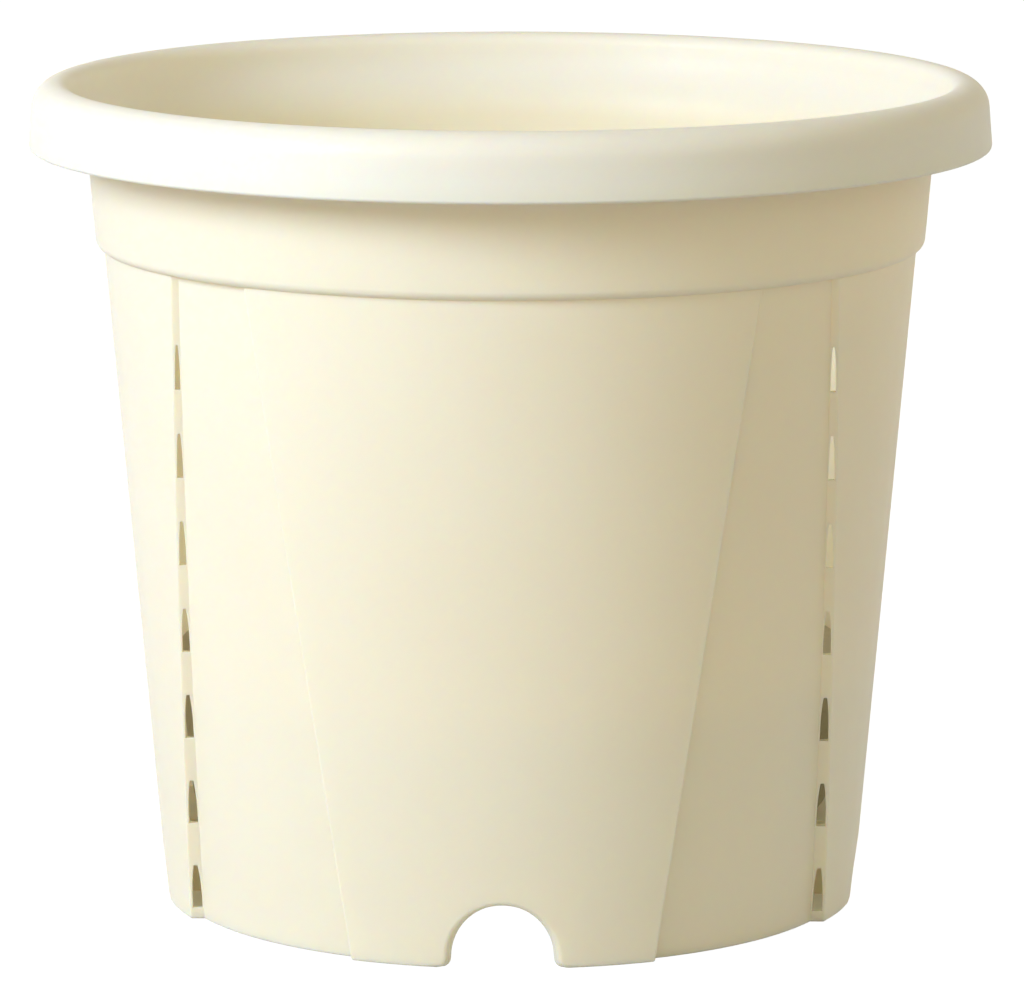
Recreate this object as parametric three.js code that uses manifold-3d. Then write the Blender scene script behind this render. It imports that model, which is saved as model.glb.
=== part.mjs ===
// Self-watering plant pot: a slit-sided outer pot with a lift-out reservoir, a perforated soil platform,
// wicking cups, a capped filling tube and a float gauge.
// Millimetres, +Z up. The origin is on the ground, on the pot's axis, and the front of the pot faces -Y.
import * as THREE from 'three';
import { mergeVertices } from 'three/addons/utils/BufferGeometryUtils.js';
import Module from 'manifold-3d';

// Outer pot: rim and collar
const POT_HEIGHT = 286;
const POT_WALL = 2.5;
const RIM_OVERHANG = 20;
const RIM_BAND = 22.7;
const RIM_DRAFT = 1;
const RIM_SHOULDER = 9;
const RIM_LIP = 4.5;
const RIM_FLARE = 26;
const RIM_FLARE_EASE = 0.4;
const COLLAR_DROP = 57.4;
const COLLAR_STEP = 3;
const COLLAR_FLARE = 2.6;
const COLLAR_EDGE = 3.5;

// Outer pot: leg panels, the recessed panels between them and the slots in the steps
const LEG_COUNT = 4;
const LEG_RADIUS_TOP = 140.4;
const LEG_RADIUS_BASE = 120.5;
const LEG_HALF_WIDTH_TOP = 85.5;
const LEG_HALF_WIDTH_BASE = 51;
const STEP_DEPTH_TOP = 1.8;
const STEP_DEPTH_BASE = 4.2;
const SLOT_START = 4.1;
const SLOT_PITCH = 30.87;
const SLOT_LENGTH = 15.5;
const SLOT_LIP = 0.8;
const SLOT_ROOT = 0.15;
const SLOT_REACH = 6;
const SLOT_TOP_SHARE = 0.4;
const SLOT_TAPER = 3;

// Outer pot: foot arches, the channels behind them and the floor
const ARCH_HALF_WIDTH = 18.5;
const ARCH_HEIGHT = 22;
const ARCH_CORNER = 3.5;
const CHANNEL_MARGIN = 0.5;
const CHANNEL_HEADROOM = 5;
const FLOOR_RISE = 1;
const FLOOR_THICKNESS = 3;
const DRAIN_RADIUS = 20;
const DRAIN_SLOT_START = 50;
const DRAIN_SLOT_LENGTH = 44;
const DRAIN_SLOT_WIDTH = 10;
const FLOOR_RIB_HEIGHT = 2.2;
const FLOOR_RIB_WIDTH = 3;
const FLOOR_RIB_START = 30;

// Reservoir tray and its plug
const TRAY_HEIGHT = 52;
const TRAY_WALL = 2.2;
const TRAY_CLEARANCE = 6;
const TRAY_EDGE = 6;
const OVERFLOW_WIDTH = 16;
const OVERFLOW_HEIGHT = 4;
const OVERFLOW_DROP = 20;
const PLUG_HOLE_RADIUS = 8;
const PLUG_FLANGE_RADIUS = 12.5;
const PLUG_FLANGE = 3;
const PLUG_NECK_RADIUS = 4;
const PLUG_KNOB_RADIUS = 7;
const PLUG_KNOB_RISE = 12;

// Soil platform
const PLATFORM_THICKNESS = 3;
const SKIRT_DEPTH = 8;
const SKIRT_WALL = 2;
const AIR_SLOT_LENGTH = 16;
const AIR_SLOT_WIDTH = 3.6;
const AIR_SLOT_PITCH = 18;
const AIR_RING_START = 18;
const AIR_RING_PITCH = 21;
const AIR_SLOT_MARGIN = 3;

// Wicking cups
const CUP_COUNT = 4;
const CUP_OFFSET = 58;
const CUP_RADIUS = 22;
const CUP_RADIUS_BASE = 17;
const CUP_WALL = 2;
const CUP_FLANGE = 4;
const CUP_FLANGE_THICKNESS = 2.4;
const CUP_FLOOR_GAP = 4;
const CUP_WINDOW_COUNT = 6;
const CUP_WINDOW_WIDTH = 4;
const CUP_WINDOW_HEIGHT = 22;
const CUP_WINDOW_RISE = 6;
const CUP_HOLE_RADIUS = 5;

// Filling tube and its flip cap
const FILL_RADIUS = 15;
const FILL_WALL = 2.5;
const FILL_DROP = 27;
const FILL_DIP = 16;
const FILL_FLANGE_RADIUS = 21;
const FILL_EDGE = 5;
const MOUTH_RADIUS = 18.5;
const MOUTH_HEIGHT = 8;
const MOUTH_FLARE = 9;
const HINGE_OFFSET = 4.8;
const EYE_RADIUS = 3.2;
const EAR_THICKNESS = 3;
const EAR_DEPTH = 11;
const KNUCKLE_LENGTH = 14;
const PIN_RADIUS = 1.5;
const PIN_HEAD_RADIUS = 2.5;
const PIN_HEAD = 0.8;
const CAP_THICKNESS = 3;
const CAP_CROWN = 1.2;
const CAP_OVERHANG = 0.8;
const CAP_SKIRT_DEPTH = 5;
const CAP_SKIRT_WALL = 1.6;
const CAP_SKIRT_CLEARANCE = 2.2;
const CAP_TAB_LENGTH = 6;
const CAP_TAB_WIDTH = 14;

// Float gauge
const CAGE_RADIUS = 20;
const CAGE_WALL = 2;
const CAGE_FLOOR_GAP = 3;
const CAGE_MARGIN = 2.5;
const CAGE_HOLE_RADIUS = 8;
const CAGE_WINDOW_COUNT = 6;
const CAGE_WINDOW_WIDTH = 6;
const CAGE_WINDOW_RISE = 7;
const CAGE_BAND = 12;
const CLIP_DEPTH = 6;
const CLIP_WALL = 2;
const SLEEVE_RADIUS = 9;
const SLEEVE_WALL = 2.5;
const SLEEVE_DROP = 60;
const SLEEVE_DIP = 4;
const SLEEVE_GUIDE = 6;
const SLEEVE_FLANGE_RADIUS = 14;
const ROD_RADIUS = 2;
const ROD_SOCKET = 10;
const FLOAT_RADIUS = 15;
const FLOAT_HEIGHT = 16;
const FLOAT_EDGE = 2;
const TIP_RADIUS = 7.5;
const TIP_HEIGHT = 10;
const TIP_SOCKET = 6;
const DOME_WALL = 2;
const DOME_SKIRT = 9;

// Fits: the gap at a seat, round a push fit, round a sliding rod and at the end of a travel
const SEAT_GAP = 0.3;
const PUSH_GAP = 0.4;
const SLIDE_GAP = 0.5;
const LOOSE_GAP = 1;
const FLANGE_THICKNESS = 3;

// Facets round the pot, round the tray and platform, round the small pieces, and along curves
const POT_SEGMENTS = 56;
const TRAY_SEGMENTS = 48;
const SMALL_SEGMENTS = 16;
const OUTLINE_STEPS = 6;
const ARC_STEPS = 4;
const EDGE_STEPS = 3;
const RIM_STEPS = 3;
const HOLLOW_STEPS = 2;
const SLOT_STEPS = 3;

// Levels worked out from the driving sizes
const rimEdgeZ = POT_HEIGHT - RIM_BAND;
const collarZ = POT_HEIGHT - COLLAR_DROP;
const flareZ = POT_HEIGHT - RIM_LIP - RIM_FLARE;
const collarBase = LEG_RADIUS_TOP + COLLAR_STEP;
const rimRadius = collarBase + COLLAR_FLARE + RIM_OVERHANG;
const channelHalfWidth = ARCH_HALF_WIDTH + ARCH_CORNER + CHANNEL_MARGIN;
const channelRoof = ARCH_HEIGHT + CHANNEL_HEADROOM;
const ridgeZ = channelRoof + FLOOR_THICKNESS;
const trayZ = ridgeZ + FLOOR_RIB_HEIGHT + SEAT_GAP;
const trayFloor = trayZ + TRAY_WALL;
const trayTop = trayZ + TRAY_HEIGHT;
const platformZ = trayTop + SEAT_GAP;
const platformTop = platformZ + PLATFORM_THICKNESS;
const flangeZ = platformTop + SEAT_GAP;
const fillTop = POT_HEIGHT - FILL_DROP;
const capZ = fillTop + SEAT_GAP;
const hingeZ = capZ + CAP_THICKNESS / 2;
const hingeX = -(MOUTH_RADIUS + HINGE_OFFSET);
const sleeveTop = POT_HEIGHT - SLEEVE_DROP;
const cageZ = trayFloor + CAGE_FLOOR_GAP;
const floatZ = cageZ + CAGE_WALL + SEAT_GAP;
const floatTravel = platformZ - SLEEVE_DIP - LOOSE_GAP - floatZ - FLOAT_HEIGHT;
const tipZ = sleeveTop + SLIDE_GAP;
const domeRoof = tipZ + floatTravel + TIP_HEIGHT + LOOSE_GAP;

// Wall of the pot at a height: proud leg panels, recessed panels, inside face and the tray that follows it
const mix = THREE.MathUtils.lerp;
const legRadius = (z) => mix(LEG_RADIUS_BASE, LEG_RADIUS_TOP, z / collarZ);
const stepDepth = (z) => mix(STEP_DEPTH_BASE, STEP_DEPTH_TOP, z / collarZ);
const panelRadius = (z) => legRadius(z) - stepDepth(z);
const legHalfWidth = (z) => mix(LEG_HALF_WIDTH_BASE, LEG_HALF_WIDTH_TOP, z / collarZ);
const collarShare = (z) => (z - collarZ) / (rimEdgeZ - collarZ);
const collarRadius = (z) => collarBase + COLLAR_FLARE * collarShare(z);
const trayRadius = (z) => panelRadius(z) - POT_WALL - TRAY_CLEARANCE;
const platformRadius = trayRadius(trayTop);
const fillOffset = platformRadius - FILL_FLANGE_RADIUS - FILL_EDGE;
const gaugeOffset = trayRadius(cageZ) - TRAY_WALL - CAGE_RADIUS - CAGE_MARGIN;

// Reach of a cutter past the surface that it opens, and the distance at which corners count as one
const CUT = 1;
const MERGE_DISTANCE = 1e-4;

const wasm = await Module();
wasm.setup();

// Closed geometry to a solid for joining and cutting, and back
function solid(geometry) {
  const bare = new THREE.BufferGeometry();
  bare.setAttribute('position', geometry.attributes.position);
  bare.setIndex(geometry.index);
  const merged = mergeVertices(bare, MERGE_DISTANCE);
  const triangles = [];
  for (let i = 0; i < merged.index.count; i += 3) {
    const corners = [0, 1, 2].map((k) => merged.index.getX(i + k));
    if (new Set(corners).size === 3) triangles.push(...corners);
  }
  const vertProperties = Float32Array.from(merged.attributes.position.array);
  const triVerts = Uint32Array.from(triangles);
  return new wasm.Manifold(new wasm.Mesh({ numProp: 3, vertProperties, triVerts }));
}

function geometryOf(body) {
  const { vertProperties, triVerts } = body.getMesh();
  const geometry = new THREE.BufferGeometry();
  geometry.setAttribute('position', new THREE.BufferAttribute(Float32Array.from(vertProperties), 3));
  geometry.setIndex(Array.from(triVerts));
  geometry.computeVertexNormals();
  return geometry;
}

const joined = (shapes) => shapes.map(solid).reduce((whole, body) => whole.add(body));
const join = (...shapes) => geometryOf(joined(shapes));
const cut = (shape, ...cutters) => geometryOf(solid(shape).subtract(joined(cutters)));
const common = (shape, other) => geometryOf(solid(shape).intersect(solid(other)));

// Solid of revolution about +Z. The profile runs anticlockwise in radius and height, and closes on itself
// or on the axis.
function revolve(profile, segments) {
  const points = profile.map(([r, z]) => new THREE.Vector2(r, z));
  const onAxis = points[0].x === 0 && points.at(-1).x === 0;
  if (!onAxis) points.push(points[0]);
  return new THREE.LatheGeometry(points, segments).rotateX(Math.PI / 2);
}

// Upright cylinder between two heights
function post(radius, low, high) {
  return revolve([[0, low], [radius, low], [radius, high], [0, high]], SMALL_SEGMENTS);
}

// Cylinder along Y about the point x, z
function crossRod(radius, length, x, z) {
  return new THREE.CylinderGeometry(radius, radius, length, SMALL_SEGMENTS).translate(x, 0, z);
}

// Block between two corners
function block(low, high) {
  const size = high.map((value, k) => value - low[k]);
  const middle = high.map((value, k) => (value + low[k]) / 2);
  return new THREE.BoxGeometry(...size).translate(...middle);
}

// Outline in X and Z, extruded along Y from one depth to another
function slab(outline, yLow, yHigh) {
  const settings = { depth: yHigh - yLow, bevelEnabled: false, curveSegments: OUTLINE_STEPS };
  const geometry = new THREE.ExtrudeGeometry(outline, settings);
  return geometry.rotateX(Math.PI / 2).translate(0, yHigh, 0);
}

const outlineOf = (points) => new THREE.Shape(points.map(([x, z]) => new THREE.Vector2(x, z)));
const listOf = (points) => points.map((p) => [p.x, p.y]);

// Arc in radius and height, clockwise where it runs to a smaller angle
function arcPoints(x, z, radius, from, to, steps) {
  return listOf(new THREE.EllipseCurve(x, z, radius, radius, from, to, to < from).getPoints(steps));
}

// Round top: a quarter of an ellipse from its side up to the axis
function crownPoints(z, radius, rise) {
  const curve = new THREE.EllipseCurve(0, z, radius, rise, 0, Math.PI / 2).getPoints(ARC_STEPS);
  return [...listOf(curve.slice(0, -1)), [0, z + rise]];
}

// Copies of a shape spread evenly about +Z, the first turned by a starting angle
function ring(shape, count, start = 0) {
  const angle = (k) => start + (2 * Math.PI * k) / count;
  return join(...Array.from({ length: count }, (_, k) => shape.clone().rotateZ(angle(k))));
}

// Windows through a round wall: blocks that point along +X, spread about +Z
function windows(count, width, inner, outer, low, high, start = 0) {
  return ring(block([inner, -width / 2, low], [outer, width / 2, high]), count, start);
}

// Polyline moved sideways, to the left of its direction
function offsetLine(points, distance) {
  return points.map(([x, z], k) => {
    const [xa, za] = points[Math.max(k - 1, 0)];
    const [xb, zb] = points[Math.min(k + 1, points.length - 1)];
    const length = Math.hypot(xb - xa, zb - za);
    return [x - (distance * (zb - za)) / length, z + (distance * (xb - xa)) / length];
  });
}

// Outer skin of the rim, from its lower edge over the crest and down the flare into the pot
function rimSkin(steps) {
  const crest = rimRadius - RIM_DRAFT - RIM_SHOULDER;
  const lip = new THREE.Vector2(crest - RIM_LIP, POT_HEIGHT - RIM_LIP);
  const foot = new THREE.Vector2(collarRadius(flareZ) - POT_WALL, flareZ);
  const flare = new THREE.CubicBezierCurve(
    lip,
    new THREE.Vector2(lip.x, mix(lip.y, foot.y, RIM_FLARE_EASE)),
    new THREE.Vector2(foot.x, mix(foot.y, lip.y, RIM_FLARE_EASE)),
    foot,
  );
  return [
    [rimRadius, rimEdgeZ],
    ...arcPoints(crest, POT_HEIGHT - RIM_SHOULDER, RIM_SHOULDER, 0, Math.PI / 2, steps),
    ...arcPoints(crest, lip.y, RIM_LIP, Math.PI / 2, Math.PI, steps - 1).slice(1),
    ...listOf(flare.getPoints(steps).slice(1)),
  ];
}

// Collar and rolled rim in one section, with the rim hollow and open underneath
function potRim() {
  const ledge = panelRadius(collarZ) - POT_WALL;
  const edge = collarBase - COLLAR_EDGE;
  const hollow = offsetLine(rimSkin(HOLLOW_STEPS), POT_WALL);
  return revolve([
    [ledge, collarZ],
    ...arcPoints(edge, collarZ + COLLAR_EDGE, COLLAR_EDGE, -Math.PI / 2, 0, EDGE_STEPS),
    ...hollow.reverse(),
    ...rimSkin(RIM_STEPS),
    [collarBase - POT_WALL, collarZ + POT_WALL],
    [ledge, collarZ + POT_WALL],
  ], POT_SEGMENTS);
}

// Cone between two heights, and the same for the leg panels, which fan out upwards
function cone(radius, low, high) {
  return revolve([[0, low], [radius(low), low], [radius(high), high], [0, high]], POT_SEGMENTS);
}

function fluted(low, high, inset) {
  const panels = cone((z) => panelRadius(z) - inset, low, high);
  const side = (z) => legHalfWidth(z) - inset;
  const fan = outlineOf([[-side(low), low], [side(low), low], [side(high), high], [-side(high), high]]);
  const legs = ring(slab(fan, -rimRadius, -DRAIN_RADIUS), LEG_COUNT);
  return join(panels, common(cone((z) => legRadius(z) - inset, low, high), legs));
}

// Outline of a slot in the step beside a leg panel: flat below, and drawn in above like a pointed arch
function slotOutline(low) {
  const step = (radius, z) => Math.sqrt(radius(z) ** 2 - legHalfWidth(z) ** 2);
  const [roots, lips] = [[], []];
  for (let k = 0; k <= SLOT_STEPS; k += 1) {
    const z = low + (SLOT_LENGTH * k) / SLOT_STEPS;
    const [root, lip] = [step(panelRadius, z) + SLOT_ROOT, step(legRadius, z) - SLOT_LIP];
    const taper = ((1 - SLOT_TOP_SHARE) * (k / SLOT_STEPS) ** SLOT_TAPER * (lip - root)) / 2;
    roots.unshift([root + taper, z]);
    lips.push([lip - taper, z]);
  }
  return outlineOf([...lips, ...roots]);
}

// Slots that open the steps, cut along the leg's width
function stepSlots() {
  const cutters = [];
  for (let low = SLOT_START; low + SLOT_LENGTH < collarZ - POT_WALL; low += SLOT_PITCH) {
    const inner = legHalfWidth(low) - POT_WALL - SLOT_REACH;
    const outer = legHalfWidth(low + SLOT_LENGTH) + CUT;
    cutters.push(slab(slotOutline(low), inner, outer), slab(slotOutline(low), -outer, -inner));
  }
  return ring(join(...cutters), LEG_COUNT);
}

// Arch in the foot of each leg, flared at the ground
function footArches() {
  const spread = ARCH_HALF_WIDTH + ARCH_CORNER;
  const arch = new THREE.Shape();
  arch.moveTo(-spread, -CUT);
  arch.lineTo(spread, -CUT);
  arch.absarc(spread, ARCH_CORNER, ARCH_CORNER, -Math.PI / 2, -Math.PI, true);
  arch.absellipse(0, ARCH_CORNER, ARCH_HALF_WIDTH, ARCH_HEIGHT - ARCH_CORNER, 0, Math.PI);
  arch.absarc(-spread, ARCH_CORNER, ARCH_CORNER, 0, -Math.PI / 2, true);
  return ring(slab(arch, -rimRadius, -DRAIN_RADIUS), LEG_COUNT);
}

// Slit wall, open at both ends, under the collar
function potWall() {
  const top = collarZ - SEAT_GAP;
  const wall = cut(fluted(0, top, 0), fluted(-CUT, top + CUT, POT_WALL));
  return cut(wall, stepSlots(), footArches());
}

// Channels that cross under the floor from arch to arch
function channels(halfWidth, low, high) {
  return windows(LEG_COUNT, 2 * halfWidth, 0, rimRadius, low, high);
}

// Drain slots in the low floor, and the drain over the channels' crossing
function drainHoles() {
  const end = DRAIN_SLOT_START + DRAIN_SLOT_LENGTH;
  const [low, high] = [FLOOR_RISE - CUT, ridgeZ + CUT];
  const between = Math.PI / LEG_COUNT;
  const slots = windows(LEG_COUNT, DRAIN_SLOT_WIDTH, DRAIN_SLOT_START, end, low, high, between);
  return join(slots, post(DRAIN_RADIUS, low, high));
}

// Ribs along the channels' roofs, which hold the tray off them
function floorRibs() {
  const end = trayRadius(trayZ) - TRAY_EDGE;
  const [low, high] = [channelRoof + FLOOR_THICKNESS / 2, ridgeZ + FLOOR_RIB_HEIGHT];
  return windows(LEG_COUNT, FLOOR_RIB_WIDTH, FLOOR_RIB_START, end, low, high);
}

// Low floor inside the wall, raised over the channels
function potFloor() {
  const inset = POT_WALL + SEAT_GAP;
  const raised = channels(channelHalfWidth + FLOOR_THICKNESS, FLOOR_RISE, ridgeZ);
  const plate = fluted(FLOOR_RISE, FLOOR_RISE + FLOOR_THICKNESS, inset);
  const whole = join(plate, common(fluted(FLOOR_RISE, ridgeZ, inset), raised));
  const hollow = channels(channelHalfWidth, FLOOR_RISE - CUT, channelRoof);
  return join(cut(whole, hollow, drainHoles()), floorRibs());
}

// Water tray: tapered like the pot, with a rounded foot, a plug hole and overflow windows
function reservoirTray() {
  const bend = trayZ + TRAY_EDGE;
  const bendIn = TRAY_EDGE - TRAY_WALL;
  const turn = trayRadius(bend) - TRAY_EDGE;
  const wall = revolve([
    [PLUG_HOLE_RADIUS, trayZ],
    ...arcPoints(turn, bend, TRAY_EDGE, -Math.PI / 2, 0, EDGE_STEPS),
    [trayRadius(trayTop), trayTop],
    [trayRadius(trayTop) - TRAY_WALL, trayTop],
    ...arcPoints(turn, bend, bendIn, 0, -Math.PI / 2, EDGE_STEPS),
    [PLUG_HOLE_RADIUS, trayFloor],
  ], TRAY_SEGMENTS);
  const low = trayTop - OVERFLOW_DROP;
  const quarter = Math.PI / LEG_COUNT;
  const [inner, outer] = [turn, trayRadius(trayTop) + CUT];
  const overflow = windows(LEG_COUNT, OVERFLOW_WIDTH, inner, outer, low, low + OVERFLOW_HEIGHT, quarter);
  return cut(wall, overflow);
}

// Rubber plug: a stem in the tray's hole, a sealing flange and a knob to pull
function drainPlug() {
  const stem = PLUG_HOLE_RADIUS - SEAT_GAP;
  const seat = trayFloor + SEAT_GAP;
  const neck = seat + PLUG_FLANGE;
  const top = seat + PLUG_KNOB_RISE;
  const round = PLUG_KNOB_RADIUS - PLUG_NECK_RADIUS;
  const knob = arcPoints(PLUG_NECK_RADIUS, top - round, round, -Math.PI / 3, Math.PI / 2, ARC_STEPS);
  return revolve([
    [0, trayZ],
    [stem, trayZ],
    [stem, seat],
    [PLUG_FLANGE_RADIUS, seat],
    [PLUG_FLANGE_RADIUS, neck],
    [PLUG_NECK_RADIUS, neck],
    ...knob,
    [0, top],
  ], SMALL_SEGMENTS);
}

// Round openings in the platform: the cups, the filling tube and the gauge sleeve
function sockets() {
  const cups = Array.from({ length: CUP_COUNT }, (_, k) => {
    const angle = ((k + 0.5) * 2 * Math.PI) / CUP_COUNT;
    const [x, y] = [CUP_OFFSET * Math.cos(angle), CUP_OFFSET * Math.sin(angle)];
    return { x, y, radius: CUP_RADIUS + PUSH_GAP, keep: CUP_RADIUS + CUP_FLANGE };
  });
  const fill = { x: -fillOffset, y: 0, radius: FILL_RADIUS + PUSH_GAP, keep: FILL_FLANGE_RADIUS };
  const gauge = { x: gaugeOffset, y: 0, radius: SLEEVE_RADIUS + PUSH_GAP, keep: CAGE_RADIUS + CLIP_WALL };
  return { cups, fill, gauge, all: [...cups, fill, gauge] };
}

// Radial air slots on rings, left out where a socket is
function airSlots(openings, reach) {
  const [low, high] = [platformZ - CUT, platformTop + CUT];
  const half = [AIR_SLOT_LENGTH / 2, AIR_SLOT_WIDTH / 2];
  const slots = [];
  for (let radius = AIR_RING_START; radius + half[0] + AIR_SLOT_MARGIN < reach; radius += AIR_RING_PITCH) {
    const count = Math.floor((2 * Math.PI * radius) / AIR_SLOT_PITCH);
    const slot = block([radius - half[0], -half[1], low], [radius + half[0], half[1], high]);
    for (let k = 0; k < count; k += 1) {
      const angle = (2 * Math.PI * k) / count;
      const [x, y] = [radius * Math.cos(angle), radius * Math.sin(angle)];
      const clear = ({ x: u, y: v, keep }) => Math.hypot(x - u, y - v) > keep + half[0] + AIR_SLOT_MARGIN;
      if (openings.every(clear)) slots.push(slot.clone().rotateZ(angle));
    }
  }
  return join(...slots);
}

// Perforated platform with a skirt inside the tray and a clip ring for the float cage
function soilPlatform() {
  const { all, gauge } = sockets();
  const skirtZ = platformZ - SKIRT_DEPTH;
  const skirt = trayRadius(skirtZ) - TRAY_WALL - LOOSE_GAP;
  const disc = revolve([
    [0, platformZ],
    [skirt - SKIRT_WALL, platformZ],
    [skirt - SKIRT_WALL, skirtZ],
    [skirt, skirtZ],
    [skirt, platformZ],
    [platformRadius, platformZ],
    [platformRadius, platformTop],
    [0, platformTop],
  ], TRAY_SEGMENTS);
  const clipIn = CAGE_RADIUS + PUSH_GAP;
  const [clipLow, clipHigh] = [platformZ - CLIP_DEPTH, platformZ + PLATFORM_THICKNESS / 2];
  const clip = cut(post(clipIn + CLIP_WALL, clipLow, clipHigh), post(clipIn, clipLow - CUT, platformZ));
  const holes = all.map(({ x, y, radius }) => post(radius, skirtZ, platformTop + CUT).translate(x, y, 0));
  const plate = join(disc, clip.translate(gauge.x, gauge.y, 0));
  return cut(plate, ...holes, airSlots(all, skirt - SKIRT_WALL));
}

// Wicking cup: a flanged, tapered cup with windows in its wall and a hole in its floor
function wickingCup() {
  const low = trayFloor + CUP_FLOOR_GAP;
  const top = flangeZ + CUP_FLANGE_THICKNESS;
  const wall = revolve([
    [CUP_HOLE_RADIUS, low],
    [CUP_RADIUS_BASE, low],
    [CUP_RADIUS, flangeZ],
    [CUP_RADIUS + CUP_FLANGE, flangeZ],
    [CUP_RADIUS + CUP_FLANGE, top],
    [CUP_RADIUS - CUP_WALL, top],
    [CUP_RADIUS_BASE - CUP_WALL, low + CUP_WALL],
    [CUP_HOLE_RADIUS, low + CUP_WALL],
  ], SMALL_SEGMENTS);
  const sill = low + CUP_WINDOW_RISE;
  const inner = CUP_RADIUS_BASE - 2 * CUP_WALL;
  const [outer, head] = [CUP_RADIUS + CUT, sill + CUP_WINDOW_HEIGHT];
  return cut(wall, windows(CUP_WINDOW_COUNT, CUP_WINDOW_WIDTH, inner, outer, sill, head));
}

// Two ears on the mouth of the filling tube that carry the cap's pin
function hingeEars() {
  const near = KNUCKLE_LENGTH / 2 + SEAT_GAP;
  const far = near + EAR_THICKNESS;
  const root = -Math.sqrt((MOUTH_RADIUS - FILL_WALL) ** 2 - near ** 2) - SEAT_GAP;
  const ear = new THREE.Shape();
  ear.moveTo(root, fillTop - EAR_DEPTH);
  ear.lineTo(root, fillTop - SEAT_GAP);
  ear.lineTo(-MOUTH_RADIUS, fillTop - SEAT_GAP);
  ear.absarc(hingeX, hingeZ, EYE_RADIUS, 0, Math.PI);
  ear.lineTo(hingeX - EYE_RADIUS, hingeZ - EYE_RADIUS);
  return join(slab(ear, near, far), slab(ear, -far, -near));
}

// Filling tube: seated on the platform by a flange, with a funnel mouth
function fillTube() {
  const bore = FILL_RADIUS - FILL_WALL;
  const mouthZ = fillTop - MOUTH_HEIGHT;
  const tube = revolve([
    [bore, platformZ - FILL_DIP],
    [FILL_RADIUS, platformZ - FILL_DIP],
    [FILL_RADIUS, flangeZ],
    [FILL_FLANGE_RADIUS, flangeZ],
    [FILL_FLANGE_RADIUS, flangeZ + FLANGE_THICKNESS],
    [FILL_RADIUS, flangeZ + FLANGE_THICKNESS],
    [FILL_RADIUS, mouthZ - MOUTH_FLARE],
    [MOUTH_RADIUS, mouthZ],
    [MOUTH_RADIUS, fillTop],
    [MOUTH_RADIUS - FILL_WALL, fillTop],
    [MOUTH_RADIUS - FILL_WALL, mouthZ],
    [bore, mouthZ - MOUTH_FLARE],
  ], SMALL_SEGMENTS);
  const pinHole = crossRod(PIN_RADIUS + SEAT_GAP, 2 * (KNUCKLE_LENGTH + 2 * EAR_THICKNESS), hingeX, hingeZ);
  return cut(join(tube, hingeEars()), pinHole);
}

// Flip cap: a crowned lid with a skirt inside the mouth, a knuckle on the pin and a lifting tab
function fillCap() {
  const edge = MOUTH_RADIUS + CAP_OVERHANG;
  const skirt = MOUTH_RADIUS - FILL_WALL - CAP_SKIRT_CLEARANCE;
  const capTop = capZ + CAP_THICKNESS;
  const lid = revolve([
    [0, capZ],
    [skirt - CAP_SKIRT_WALL, capZ],
    [skirt - CAP_SKIRT_WALL, capZ - CAP_SKIRT_DEPTH],
    [skirt, capZ - CAP_SKIRT_DEPTH],
    [skirt, capZ],
    [edge, capZ],
    [edge, capTop - CAP_CROWN],
    [edge - CAP_CROWN, capTop],
    [0, capTop + CAP_CROWN],
  ], SMALL_SEGMENTS);
  const reach = KNUCKLE_LENGTH / 2;
  const arm = block([hingeX, -reach, capZ], [hingeX + EYE_RADIUS + HINGE_OFFSET, reach, capTop]);
  const grip = CAP_TAB_WIDTH / 2;
  const tab = block([skirt, -grip, capZ], [edge + CAP_TAB_LENGTH, grip, capTop - CAP_CROWN]);
  const knuckle = crossRod(EYE_RADIUS, KNUCKLE_LENGTH, hingeX, hingeZ);
  const pinHole = crossRod(PIN_RADIUS + SEAT_GAP, 2 * KNUCKLE_LENGTH, hingeX, hingeZ);
  return cut(join(lid, arm, tab, knuckle), pinHole);
}

// Hinge pin with a small head at each end, outside the ears
function fillCapPin() {
  const neck = KNUCKLE_LENGTH / 2 + SEAT_GAP + EAR_THICKNESS + SEAT_GAP;
  const end = neck + PIN_HEAD;
  const pin = revolve([
    [0, -end], [PIN_HEAD_RADIUS, -end], [PIN_HEAD_RADIUS, -neck], [PIN_RADIUS, -neck],
    [PIN_RADIUS, neck], [PIN_HEAD_RADIUS, neck], [PIN_HEAD_RADIUS, end], [0, end],
  ], SMALL_SEGMENTS);
  return pin.rotateX(Math.PI / 2).translate(hingeX, 0, hingeZ);
}

// Gauge sleeve: seated on the platform by a flange, closed below by the rod's guide
function gaugeSleeve() {
  const bore = SLEEVE_RADIUS - SLEEVE_WALL;
  const guide = ROD_RADIUS + SLIDE_GAP;
  const low = platformZ - SLEEVE_DIP;
  return revolve([
    [guide, low],
    [SLEEVE_RADIUS, low],
    [SLEEVE_RADIUS, flangeZ],
    [SLEEVE_FLANGE_RADIUS, flangeZ],
    [SLEEVE_FLANGE_RADIUS, flangeZ + FLANGE_THICKNESS],
    [SLEEVE_RADIUS, flangeZ + FLANGE_THICKNESS],
    [SLEEVE_RADIUS, sleeveTop],
    [bore, sleeveTop],
    [bore, low + SLEEVE_GUIDE],
    [guide, low + SLEEVE_GUIDE],
  ], SMALL_SEGMENTS);
}

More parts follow.
